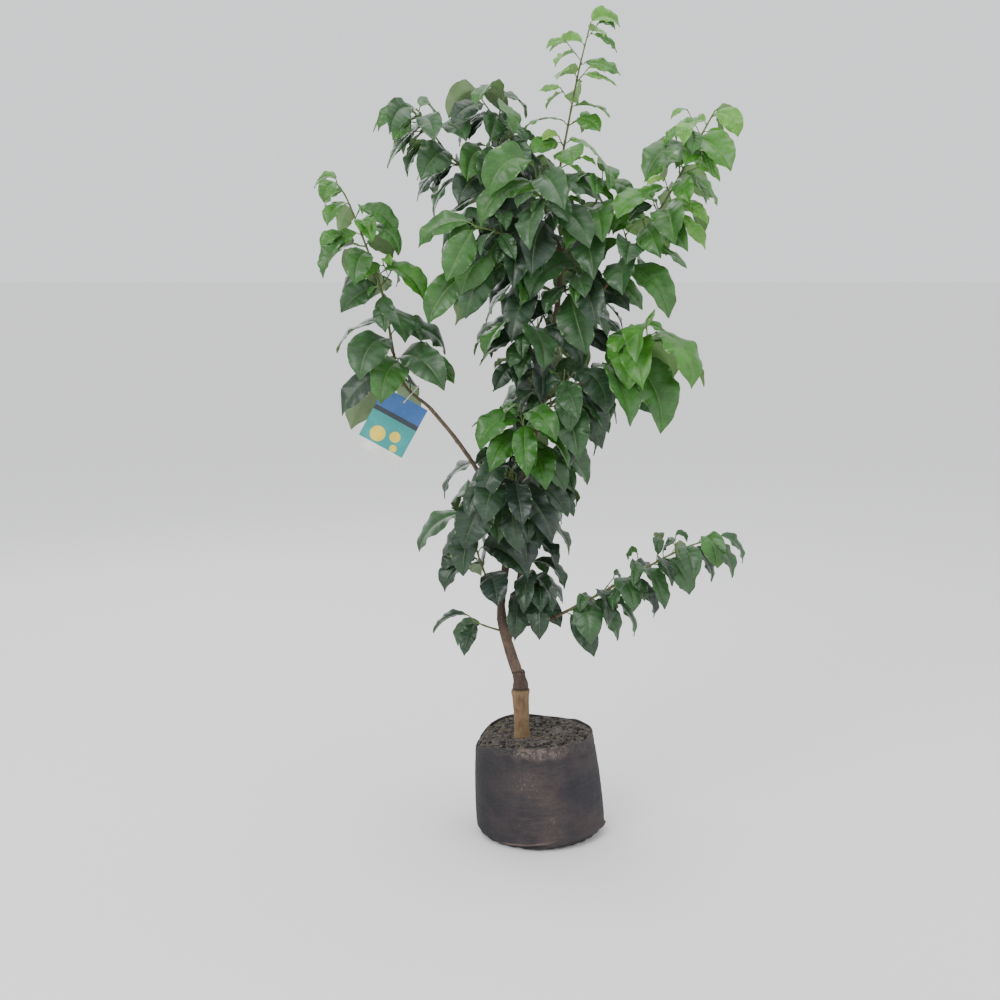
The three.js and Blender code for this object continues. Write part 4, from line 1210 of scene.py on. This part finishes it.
    def hemmed(self, angle, height):
        """The loose fold of the hem at the foot's right, and the folds at the foot's front."""
        right = np.clip((angle - math.radians(self.hem_start)) / math.radians(self.hem_run), 0, 1)
        right = right * (angle < math.radians(self.hem_end))
        hem, folds = 0, 0
        for out, low, high, width in self.hem:
            hem = hem + out * right * bump(height - mix(low, high, right), width)
        for out, level, slope, width in self.foot_folds:
            folds = folds + out * bump(height - level - slope * (angle - self.folds_from), width)
        return hem + folds * bump(angle - math.radians(self.folds_at), self.folds_wide)


# Widths, in metres, of the lines painted along the hem's and the foot's folds, a painted highlight on each
# fold and painted shade under the hem and in the grooves, and of the dusty band up the middle of its front
FOLD_LINE = 1 / 300
GROOVE_LINE = 1 / 400
DUSTY_BAND = 0.05505


def felt_material(settings):
    """Pressed dark fibres, dried soil rubbed in over the front, worn pale along its rim, painted shade on
    the left side and in the grooves, and painted highlights on the folds.
    """
    felt = Finish("felt", 0.94)
    fibres = felt.noise(900, 4, (1, 1, 2.2))
    streaks = felt.noise(46, 6, (1, 1, 3.6))
    upright = felt.noise(60, 3, (1, 1, 0.15))
    worn = felt.noise(11, 4, (1, 1, 1.6))
    side, front, height = (felt.along(axis) for axis in "XYZ")
    middle = (side + 0.006).line(DUSTY_BAND) * (1 - front.clear(-0.09, -0.05))
    crust = (height + (felt.noise(60, 4) - 0.5) * 0.03).clear(0.148, 0.166) * (0.25 + 0.75 * middle)
    dust = worn.clear(0.38, 0.7) * 0.4 + middle * (0.14 + streaks.clear(0.3, 0.75) * 0.34)
    specks = felt.noise(420, 2).clear(0.6, 0.68)
    specks = specks * (0.05 + 0.45 * crust + 0.25 * middle * worn.clear(0.5, 0.7))
    near = 1 - front.clear(-0.07, -0.03)
    hem = height - 0.002 - side.clear(-0.015, 0.085) * 0.011
    # Painted shade: a dark line under the hem's loose fold
    hem_shadow_line = hem.line(FOLD_LINE) * near * side.clear(-0.03, 0.0)
    # The line of the foot's folds, which takes a painted highlight; the groove below it takes painted
    # shade
    fold = height - 0.014 - side * 0.12 + (felt.noise(40, 2) - 0.5) * 0.006
    local = near * side.clear(-0.075, -0.05) * (1 - side.clear(-0.01, 0.03))
    # Painted shade in the groove below the foot's folds
    groove_shade = (fold + 0.005).line(GROOVE_LINE) * local
    mottled = (fibres * 0.4 + streaks * 0.28 + upright * 0.32).clear(0.4, 0.62)
    base = felt.blend(mottled, shaded(settings.felt, 0.6), settings.felt)
    for share, coat in ((felt.noise(15, 3).clear(0.5, 0.66) * 0.4, settings.patch),
                        (dust * 0.62, settings.dust),
                        (crust * felt.noise(140, 3).clear(0.36, 0.62) * 0.6, settings.crust),
                        # Painted shade over the felt's left side
                        ((1 - side.clear(-0.112, -0.05)) * 0.75, settings.shade),
                        # Painted highlight along the folds at the front of the foot
                        (fold.line(FOLD_LINE) * local * 0.55, settings.fold),
                        # Painted shade under the hem and in the grooves below the folds
                        ((hem_shadow_line * 0.7 + groove_shade * 0.75).clear(0.0, 1.0), settings.groove_shade),
                        (specks, settings.speck)):
        base = felt.blend(share, base, coat)
    felt.set("Base Color", base)
    felt.relief(fibres * 0.6 + streaks * 0.8, 0.0012, 0.8)
    return felt.material


class SAPLING_OT_soil(bpy.types.Operator):
    """Makes the soil's crumbly top, its loose crumbs and its chips of wood"""

    bl_idname = "sapling.soil"
    bl_label = "Soil"

    # Rings of the top: the first one's share of the reach, how they crowd, the gap to the felt and
    # the depth of the edge
    rings, sides = 80, 240
    first_ring, crowding = 0.004, 0.8
    felt_gap, edge_depth = 0.4, 12
    # The top's form. Mounds: height and width. Waves: height, length and seed, broadest first.
    # Furrows: height, length, width, slant and seed.
    foot_mound, back_mound = (2.5, 26), (3.5, 32)
    back_place = (62, 52)
    rim_rise = 6.5
    waves = ((2.6, 34, 3), (1.5, 8, 9), (0.8, 3, 17))
    furrows = (1.5, 30, 5, 0.3, 31)
    # Crumbs: rows and sides of a ball, its poles' angle, the least radius, how rare large ones are,
    # their unevenness, length, flatness and how high they lie
    crumb_seed, crumb_rows, crumb_sides = 21, 5, 6
    pole, least, rarity = 0.02, 0.7, 4
    uneven, longer, flat, lying = (0.7, 1.1), (0.6, 1), 0.75, 0.3
    crumb_margin = 4
    # Slivers: how far out they lie, their lengths, radii and tilt, and their form from end to end
    chip_seed, chip_reach, chip_margin, chip_sides = 33, 88, 3, 5
    chip_lengths, chip_radii, chip_tilts = (4, 15), (0.35, 1.1), (-0.12, 0.12)
    chip_places, chip_form, chip_flat = (0, 0.35, 0.7, 1), np.array([0.7, 1, 0.9, 0.5]), 0.6

    def execute(self, context):
        settings = context.scene.sapling_soil
        self.top(settings)
        self.crumbs(settings)
        self.chips(settings)
        return {"FINISHED"}

    def surface(self, x, y):
        """Height of the soil: up against the rim, with a low mound round the trunk's foot."""
        beside = x - bag_middle(SOIL_LEVEL)
        share = np.hypot(beside, y) / BAG_TOP
        sag = bag_sag(np.arctan2(y, beside)) * np.minimum(1, share) ** 4
        broad, rough, fine = (tall * ripple(x / length, y / length, 0, seed)
                              for tall, length, seed in self.waves)
        tall, length, width, slant, seed = self.furrows
        furrows = tall * ripple((x + slant * y) / length, (y - slant * x) / width, 0, seed)
        tall, width = self.foot_mound
        foot = tall * bump(np.hypot(x - TRUNK_ROUTE[0][0], y), width)
        tall, width = self.back_mound
        back = tall * bump(np.hypot(x - self.back_place[0], y - self.back_place[1]), width)
        rim = self.rim_rise * share ** 3
        return SOIL_LEVEL - sag + foot + rim + broad * share + (rough + fine + furrows) + back

    def top(self, settings):
        angle = ring_angles(self.sides)
        points = []
        for share in np.linspace(self.first_ring, 1, self.rings) ** self.crowding:
            radius = (bag_radius(angle, SOIL_LEVEL) - BAG_WALL - self.felt_gap) * share
            ring = bag_ring(angle, SOIL_LEVEL, radius)
            ring[:, 2] = self.surface(ring[:, 0], ring[:, 1])
            points.append(ring)
        edge = points[-1].copy()
        edge[:, 2] -= self.edge_depth
        points.append(edge)
        shape = Shape()
        shape.grid(np.array(points), 0, around=True, turned=True)
        shape.make("soil_top", [soil_material(settings)], "soil", ["root_ball_soil"])

    def ball(self):
        """A round crumb of radius 1."""
        polar = np.linspace(self.pole, math.pi - self.pole, self.crumb_rows)
        turn = ring_angles(self.crumb_sides)
        sides = np.outer(np.sin(polar), np.cos(turn)), np.outer(np.sin(polar), np.sin(turn))
        return np.stack([*sides, np.outer(np.cos(polar), np.ones(self.crumb_sides))], -1)

    def crumbs(self, settings):
        """Loose crumbs, each a small lump of its own shape, in three colours."""
        draw = np.random.default_rng(self.crumb_seed)
        shape = Shape()
        ball = self.ball()
        reach = BAG_TOP - BAG_WALL - self.crumb_margin
        for _ in range(settings.crumbs):
            radius = mix(self.least, settings.crumb / METRES, draw.random() ** self.rarity)
            away, angle = reach * math.sqrt(draw.random()), draw.uniform(0, 2 * math.pi)
            x = away * math.cos(angle) + bag_middle(SOIL_LEVEL)
            y = away * math.sin(angle)
            if math.hypot(x - TRUNK_ROUTE[0][0], y) < TRUNK_ROUTE[0][3] + radius:
                continue
            lump = ball * radius * draw.uniform(*self.uneven, (self.crumb_rows, self.crumb_sides, 1))
            lump = lump * np.array([1, draw.uniform(*self.longer), self.flat])
            level = float(self.surface(np.array(x), np.array(y)))
            here = np.array([x, y, level + radius * self.lying])
            shape.grid(lump + here, int(draw.integers(0, 3)), around=True, turned=True)
        colours = (settings.earth, settings.damp, settings.pale)
        materials = [crumb_material(f"crumb_{k}", base) for k, base in enumerate(colours)]
        shape.make("soil_crumbs", materials, "soil")

    def chips(self, settings):
        """Slivers of bark and dry stalks that lie on the soil."""
        draw = np.random.default_rng(self.chip_seed)
        shape = Shape()
        for _ in range(settings.chips):
            away = self.chip_reach * math.sqrt(draw.random())
            angle, turn = draw.uniform(0, 2 * math.pi, 2)
            length, width = draw.uniform(*self.chip_lengths), draw.uniform(*self.chip_radii)
            way = np.array([math.cos(turn), math.sin(turn), draw.uniform(*self.chip_tilts)])
            x = away * math.cos(angle) + bag_middle(SOIL_LEVEL)
            start = np.array([x, away * math.sin(angle), 0]) - way * length / 2
            line = np.array([start + way * length * u for u in self.chip_places])
            line[:, 2] += self.surface(line[:, 0], line[:, 1]).max() + width * 0.5
            farthest = np.hypot(line[:, 0] + BAG_LEAN, line[:, 1]).max()
            if farthest < BAG_TOP - BAG_WALL - self.chip_margin:
                kind = int(draw.integers(0, 2))
                form = self.chip_form * width
                tube(shape, line, form, self.chip_sides, kind, flatness=self.chip_flat)
        materials = [crumb_material("dry_stalk", settings.stalk),
                     crumb_material("bark_chip", settings.chip)]
        shape.make("soil_chips", materials, "soil")


def soil_material(settings):
    """Dry crumbly earth, darker in its hollows, with moss in soft patches."""
    soil = Finish("soil", 0.97)
    grain = soil.noise(260, 5)
    patches = soil.noise(26, 4)
    layers = soil.noise(60, 4, (0.35, 1.3, 1))
    earth = soil.blend((grain * 0.5 + layers * 0.5).clear(0.4, 0.6), settings.damp, settings.earth)
    mossy = patches.clear(0.5, 0.62) * soil.noise(500, 2).clear(0.35, 0.6)
    ground = soil.blend(mossy * 0.6, earth, settings.moss)
    flecks = soil.noise(620, 1).clear(0.68, 0.73)
    soil.set("Base Color", soil.blend(flecks * 0.6, ground, settings.fleck))
    soil.relief(grain + 0.5 * soil.noise(700, 3), 0.0022, 0.9)
    return soil.material


def crumb_material(name, base):
    """Matt grain in two depths of one colour, for crumbs, stalks and chips."""
    finish = Finish(name, 0.96)
    grain = finish.noise(700, 3)
    finish.set("Base Color", finish.blend(grain.clear(0.3, 0.7), shaded(base, 0.55), base))
    finish.relief(grain, 0.0008, 0.7)
    return finish.material


class SAPLING_OT_limbs(bpy.types.Operator):
    """Makes the trunk and the boughs with the relief of their bark"""

    bl_idname = "sapling.limbs"
    bl_label = "Trunk and boughs"

    steps = 26
    sides, bough_sides = 56, 28
    soften, bough_soften = 9, 5
    bough_depth = 0.5
    # Bark: depth, whether it grows with the limb's radius, closeness round it, length and seed
    bark = ((1.6, 1, 1.4, 26, 3), (0.9, 0, 4.5, 34, 8), (0.5, 0, 9, 7, 12))
    full_radius = 12
    # Leaf scars: the first one's place, the gap from each to the next, their height and width
    scar_start, scar_gap, scar_out, scar_wide = 24, 31, 0.9, 3.2
    # Rings at the graft, which stands higher on one side, and at the knob's right side: how far
    # out, the height above it and the width. Then the seam that closes the knob's ring.
    graft_tilt = 2
    graft_rings = ((1.3, -4, 4), (-1.6, 2.5, 1.8), (0.6, 9, 4))
    knob_rings = ((2.6, 0, 4), (-1.8, 6, 2))
    knob_seam, knob_tilt, seam_wide = 0.7, 1.5, 1.6
    # The flare at the soil: how far out, its height, and the roots' count and start
    flare, flare_tall, roots, roots_start = 1.1, 9, 5, 0.7
    # The cut stub: where it stands, its way, and the places and radii of its rings
    stub_root, stub_way, stub_sides = (29.0, -2, 936), (0.75, -0.5, 0.45), 16
    stub_places, stub_radii = (0, 5, 10, 16), (4.2, 3.4, 3.0, 2.9)

    def execute(self, context):
        settings = context.scene.sapling_bark
        bark = bark_material(settings)
        depth = settings.relief / METRES
        shape = Shape()
        self.limb(shape, Axis(TRUNK_ROUTE, steps=self.steps), self.sides, depth, self.soften)
        self.stub(shape)
        shape.make("trunk_bark", [bark, cut_material()], "bark", ["trunk"])
        for name, (radii, route) in BOUGHS.items():
            shape = Shape()
            axis = Axis(route, radii, self.steps)
            self.limb(shape, axis, self.bough_sides, depth * self.bough_depth, self.bough_soften)
            shape.make(name + "_bark", [bark], "bark", [name])
        return {"FINISHED"}

    def limb(self, shape, axis, sides, depth, soften):
        """A limb's skin: lumps, long fissures, leaf scars up its length and rings at the graft."""
        line = np.array(axis.line)
        radii = np.array([axis.radius_at(k) for k in range(len(line))])
        kernel = np.hanning(2 * soften + 3)[1:-1]
        padded = np.pad(radii, soften, mode="edge")
        radii = np.convolve(padded, kernel / kernel.sum(), mode="valid")
        angle = ring_angles(sides)[None]
        x, y = np.cos(angle), np.sin(angle)
        run = np.array(axis.run)[:, None]
        thick = radii[:, None] / self.full_radius
        relief = 0
        for share, grows, close, length, seed in self.bark:
            lumps = ripple(close * x, close * y, run / length, seed)
            relief = relief + depth * share * thick ** grows * lumps
        for k in range(int(axis.length / self.scar_gap)):
            facing = np.clip(np.cos(angle - k * GOLDEN_ANGLE), 0, 1) ** 5
            place = run - self.scar_start - self.scar_gap * k
            relief = relief + self.scar_out * bump(place, self.scar_wide) * facing
        if sides == self.sides:
            relief = self.trunk_relief(relief, angle, line[:, 2:3])
        tube(shape, line, radii, sides, 0, relief)

    def trunk_relief(self, relief, angle, height):
        """What only the trunk has: the graft's collar, the knob and the flare of its foot."""
        x, y = np.cos(angle), np.sin(angle)
        right = np.clip(-y, 0, 1) ** 2
        for out, level, width in self.graft_rings:
            relief = relief + out * bump(height - GRAFT_HEIGHT - self.graft_tilt * x - level, width)
        knob = height - KNOB_HEIGHT
        rings = sum(out * bump(knob - level, width) for out, level, width in self.knob_rings)
        relief = relief + rings * right
        relief = relief - self.knob_seam * bump(knob + self.knob_tilt * x, self.seam_wide) * (1 - right)
        roots = 0.5 + 0.5 * np.cos(self.roots * angle + self.roots_start)
        return relief + self.flare * bump(height - SOIL_LEVEL, self.flare_tall) * roots

    def stub(self, shape):
        """The grey stub of a shoot that was cut off near the trunk's top."""
        line = np.array(self.stub_root) + np.outer(self.stub_places, unit(np.array(self.stub_way)))
        tube(shape, line, self.stub_radii, self.stub_sides, np.array([0, 0, 0, 1]))


# Seams of the bark at the graft and the knob: how far above their heights, and widths, in metres
GRAFT_SEAM = (0.002, 0.003464)
KNOB_SEAM = (0.003, 0.002236)


def bark_material(settings):
    """Tan below the graft, brown above it and greener towards the top, with scars, pale pores and a
    painted highlight above the knob.
    """
    bark = Finish("bark", 0.8)
    height = bark.along("Z")
    streaks = bark.noise(230, 4, (1, 1, 0.18))
    blotches = bark.noise(75, 4)
    edge = height + (bark.noise(60, 2) - 0.5) * 0.008
    graft = GRAFT_HEIGHT * METRES + GRAFT_SEAM[0]
    knob = KNOB_HEIGHT * METRES + KNOB_SEAM[0]
    above = edge.clear(graft - 0.002, graft + 0.002)
    seams = ((edge - graft).line(GRAFT_SEAM[1]) + (edge - knob).line(KNOB_SEAM[1])).clear(0.0, 1.0)
    # Painted highlight: the lit stretch of the trunk from above the knob to its bend takes the lighter
    # Bend colour
    lit = height.clear(0.268, 0.276) * (1 - height.clear(0.335, 0.365))
    upper = bark.blend(height.clear(0.42, 0.75), settings.trunk, settings.upper)
    upper = bark.blend(lit, upper, settings.shoot)
    base = bark.blend(above, settings.rootstock, upper)
    scars = bark.blend(above, settings.scar, settings.dark)
    shade = (1 - streaks.clear(0.3, 0.6)) * 0.5 + (1 - blotches.clear(0.34, 0.6)) * 0.45
    wood = bark.blend(seams * 0.8, bark.blend(shade, base, scars), settings.seam)
    pores = bark.noise(520, 1, (1, 1, 1.8)).clear(0.66, 0.74)
    bark.set("Base Color", bark.blend(pores * 0.5, wood, settings.pore))
    bark.relief(streaks * 0.7 + 0.6 * blotches + 0.3 * pores, 0.0013, 0.9)
    return bark.material


def cut_material():
    """Weathered grey wood where the shoot was cut off."""
    cut = Finish("cut_wood", 0.8)
    rings = cut.noise(600, 3)
    cut.set("Base Color", cut.blend(rings.clear(0.3, 0.7), colour(120, 112, 100), colour(176, 168, 150)))
    cut.relief(rings, 0.0006)
    return cut.material


class SAPLING_OT_tag(bpy.types.Operator):
    """Makes the bent care card with its plain printed fields, and the twisted wire that holds it"""

    bl_idname = "sapling.tag"
    bl_label = "Care card"

    # Numbers of the card's materials, and how much of the curl comes from each side of the card
    top, band, field, bare, spot = range(5)
    curl_across, curl_down = 0.7, 0.9
    # Fields: where each ends, as a share of the card's height, and its material
    fields = ((0.30, top), (0.38, band), (0.86, field), (1.0, bare))
    # Round spots: how far across and down from the hole, and their radius
    spots = ((-14, 66, 13), (14, 58, 9), (20, 76, 6))
    spot_proud = 0.05
    hole_sides, edge_steps = 32, 25
    corner_grid, field_columns, field_step = (10, 6), 24, 3
    # The tie: steps and sides of its loop, then of its two twisted ends, their length and half turns
    loop_steps, loop_sides = 65, 10
    end_steps, end_sides, end_thin = 40, 8, 0.85
    end_length, end_turns, end_apart = 13, 5, 0.9

    def execute(self, context):
        settings = context.scene.sapling_tag
        self.card(settings)
        self.tie(settings)
        return {"FINISHED"}

    def bent(self, flat, settings, depth):
        """Points of the flat card, which bends forward towards its corners, in the row's frame."""
        wire = tag_place()[2]
        right, up = tag_ways()
        across, down = flat[..., 0], flat[..., 1]
        aside, below = (across / (TAG_WIDTH / 2)) ** 2, (down / TAG_HEIGHT) ** 2
        curl = settings.curl / METRES * (aside * self.curl_across + below * self.curl_down)
        centre = wire - up * TAG_DROP
        return (centre + across[..., None] * right - down[..., None] * up
                + (curl + TAG_THICK / 2 - depth)[..., None] * FRONT)

    def card(self, settings):
        """The card's faces and its edges, which go round it and round its hole."""
        angle = np.arange(self.hole_sides + 1) / self.hole_sides * 2 * math.pi
        circle = np.stack([np.cos(angle), np.sin(angle)], -1)
        shape = Shape()
        for flat, slot in self.patches(circle):
            depth = np.zeros(flat.shape[:2])
            if slot == self.spot:
                shape.grid(self.bent(flat, settings, depth - self.spot_proud), slot)
            else:
                shape.grid(self.bent(flat, settings, depth), slot)
                shape.grid(self.bent(flat, settings, depth + TAG_THICK), self.bare, turned=True)
        half, top, bottom = TAG_WIDTH / 2, -TAG_MARGIN, TAG_HEIGHT - TAG_MARGIN
        edge = [(-half, top), (half, top), (half, bottom), (-half, bottom), (-half, top)]
        outline = np.concatenate([np.linspace(a, b, self.edge_steps)[:-1] for a, b in zip(edge, edge[1:])])
        for line in (outline, circle[:-1] * TAG_HOLE):
            rim = np.array([line, line])
            depth = np.array([[0.0], [TAG_THICK]]) + np.zeros(rim.shape[:2])
            shape.grid(self.bent(rim, settings, depth), self.bare, around=True)
        prints = (settings.top, settings.band, settings.field, settings.card, settings.spot)
        materials = [print_material(f"card_print_{k}", base) for k, base in enumerate(prints)]
        shape.make("care_card", materials, "tag", ["tag_card"])

    def patches(self, circle):
        """A ring round the hole, a square up to the card's top, the printed fields and the spots."""
        half, top, square = TAG_WIDTH / 2, -TAG_MARGIN, TAG_MARGIN
        box = circle / np.abs(circle).max(1)[:, None] * square
        patches = [(np.array([mix(circle * TAG_HOLE, box, u) for u in (0, 0.5, 1)]), self.top)]
        for left, right in ((-half, -square), (square, half)):
            patches.append((self.patch(left, right, top, square, *self.corner_grid), self.top))
        start = square
        for share, slot in self.fields:
            end = mix(top, TAG_HEIGHT - TAG_MARGIN, share)
            rows = max(3, int((end - start) / self.field_step))
            patches.append((self.patch(-half, half, start, end, self.field_columns, rows), slot))
            start = end
        for x, y, radius in self.spots:
            patches.append((np.array([circle * radius * u + (x, y) for u in (0.02, 0.5, 1)]), self.spot))
        return patches

    def patch(self, left, right, top, bottom, columns, rows):
        """A level grid on the flat card, as [across, down] places from its hole."""
        down, across = np.linspace(top, bottom, rows), np.linspace(left, right, columns)
        down, across = np.meshgrid(down, across, indexing="ij")
        return np.stack([across, down], -1)

    def tie(self, settings):
        """A loop of coated wire round the stem, whose two ends are twisted together."""
        middle, down, _ = tag_place()
        turn = np.linspace(0, 2 * math.pi, self.loop_steps)[:, None]
        loop = middle + TIE_RADIUS * (np.cos(turn) * down - np.sin(turn) * FRONT)
        shape = Shape()
        tube(shape, loop, np.full(len(loop), TIE_WIRE), self.loop_sides)
        side = cross(down, FRONT)
        start = middle - down * (TIE_RADIUS - 1)
        along = np.linspace(0, 1, self.end_steps)[:, None]
        for phase in (0, math.pi):
            twist = along * self.end_turns * math.pi + phase
            turned = np.cos(twist) * side + np.sin(twist) * FRONT
            line = start - down * self.end_length * along + self.end_apart * turned
            tube(shape, line, np.full(len(line), TIE_WIRE * self.end_thin), self.end_sides)
        wire = Finish("coated_wire", 0.4)
        wire.set("Base Color", wire.blend(wire.noise(300, 2), colour(196, 196, 190), settings.wire))
        shape.make("wire_tie", [wire.material], "tie", ["tag_tie"])


def print_material(name, base):
    """Glossy print on plastic card, with fine scuffs and a soft unevenness in the ink."""
    ink = Finish(name, 0.32, coat_weight=0.4)
    cloudy = ink.noise(42, 3)
    lighter = [min(1, share * 1.35 + 0.01) for share in base[:3]] + [1]
    ink.set("Base Color", ink.blend(cloudy.clear(0.35, 0.75) * 0.7, base, lighter))
    ink.set("Roughness", 0.28 + 0.2 * ink.noise(500, 2))
    ink.relief(ink.noise(240, 2), 0.0002, 0.3)
    return ink.material


class SAPLING_OT_stage(bpy.types.Operator):
    """Sets the pale ground, the soft lamps, and the camera at the angle from which the plant was seen"""

    bl_idname = "sapling.stage"
    bl_label = "Stage"

    # Lamps: name, place, size and power. They all face one place on the plant.
    lamps = (
        ("key", (-1.6, -2.2, 2.6), 1.6, 46.0),
        ("fill", (2.2, -1.9, 1.5), 2.2, 14.0),
        ("top", (0.2, 0.4, 3.2), 2.2, 26.0),
        ("rim", (-1.2, 2.2, 1.9), 1.4, 14.0),
    )
    lamps_face = (0, 0, 0.6)
    sky_colour = (0.86, 0.88, 0.9, 1)
    ground_reach = 60

    def execute(self, context):
        settings = context.scene.sapling_stage
        self.ground(settings)
        for name, place, size, power in self.lamps:
            self.lamp(name, Vector(place), size, power)
        world = bpy.data.worlds.new("studio")
        world.use_nodes = True
        sky = world.node_tree.nodes["Background"].inputs
        sky["Color"].default_value = self.sky_colour
        sky["Strength"].default_value = settings.sky
        context.scene.world = world
        camera = bpy.data.objects.new("camera", bpy.data.cameras.new("camera"))
        camera.data.lens = settings.lens
        camera.location = settings.camera
        camera.rotation_euler = (math.pi / 2 - settings.pitch, 0, 0)
        context.scene.collection.objects.link(camera)
        context.scene.camera = camera
        return {"FINISHED"}

    def ground(self, settings):
        """A plain level square that reaches out of sight."""
        mesh = bpy.data.meshes.new("floor")
        corners = [(x * self.ground_reach, y * self.ground_reach, 0)
                   for x, y in ((-1, -1), (1, -1), (1, 1), (-1, 1))]
        mesh.from_pydata(corners, [], [(0, 1, 2, 3)])
        plain = Finish("floor", 0.8)
        plain.set("Base Color", settings.floor)
        mesh.materials.append(plain.material)
        floor = bpy.data.objects.new("floor", mesh)
        bpy.context.scene.collection.objects.link(floor)

    def lamp(self, name, place, size, power):
        light = bpy.data.lights.new(name, "AREA")
        light.size, light.energy = size, power
        lamp = bpy.data.objects.new(name, light)
        lamp.location = place
        lamp.rotation_euler = (Vector(self.lamps_face) - place).to_track_quat("-Z", "Y").to_euler()
        bpy.context.scene.collection.objects.link(lamp)


class SAPLING_PT_panel(bpy.types.Panel):
    """Lists the pieces of the sapling and their settings"""

    bl_label = "Citrus sapling"
    bl_idname = "SAPLING_PT_panel"
    bl_space_type = "VIEW_3D"
    bl_region_type = "UI"
    bl_category = "Sapling"

    def draw(self, context):
        for operator, group in STEPS:
            box = self.layout.box()
            box.operator(operator.bl_idname)
            settings = getattr(context.scene, group)
            for name in settings.__annotations__:
                box.prop(settings, name)


# Each operator with the scene property that holds its settings, in the order in which they run
STEPS = (
    (SAPLING_OT_bag, "sapling_bag"),
    (SAPLING_OT_soil, "sapling_soil"),
    (SAPLING_OT_limbs, "sapling_bark"),
    (SAPLING_OT_foliage, "sapling_leaves"),
    (SAPLING_OT_tag, "sapling_tag"),
    (SAPLING_OT_stage, "sapling_stage"),
)
GROUPS = {
    "sapling_bag": SaplingBag,
    "sapling_soil": SaplingSoil,
    "sapling_bark": SaplingBark,
    "sapling_leaves": SaplingLeaves,
    "sapling_tag": SaplingTag,
    "sapling_stage": SaplingStage,
}
CLASSES = (*GROUPS.values(), *(operator for operator, _ in STEPS), SAPLING_PT_panel)


def register():
    for kind in CLASSES:
        bpy.utils.register_class(kind)
    for name, group in GROUPS.items():
        setattr(bpy.types.Scene, name, bpy.props.PointerProperty(type=group))


def unregister():
    for name in GROUPS:
        delattr(bpy.types.Scene, name)
    for kind in reversed(CLASSES):
        bpy.utils.unregister_class(kind)


def main():
    register()
    bpy.ops.sapling.bag()
    bpy.ops.sapling.soil()
    bpy.ops.sapling.limbs()
    bpy.ops.sapling.foliage()
    bpy.ops.sapling.tag()
    bpy.ops.sapling.stage()


if __name__ == "__main__":
    main()
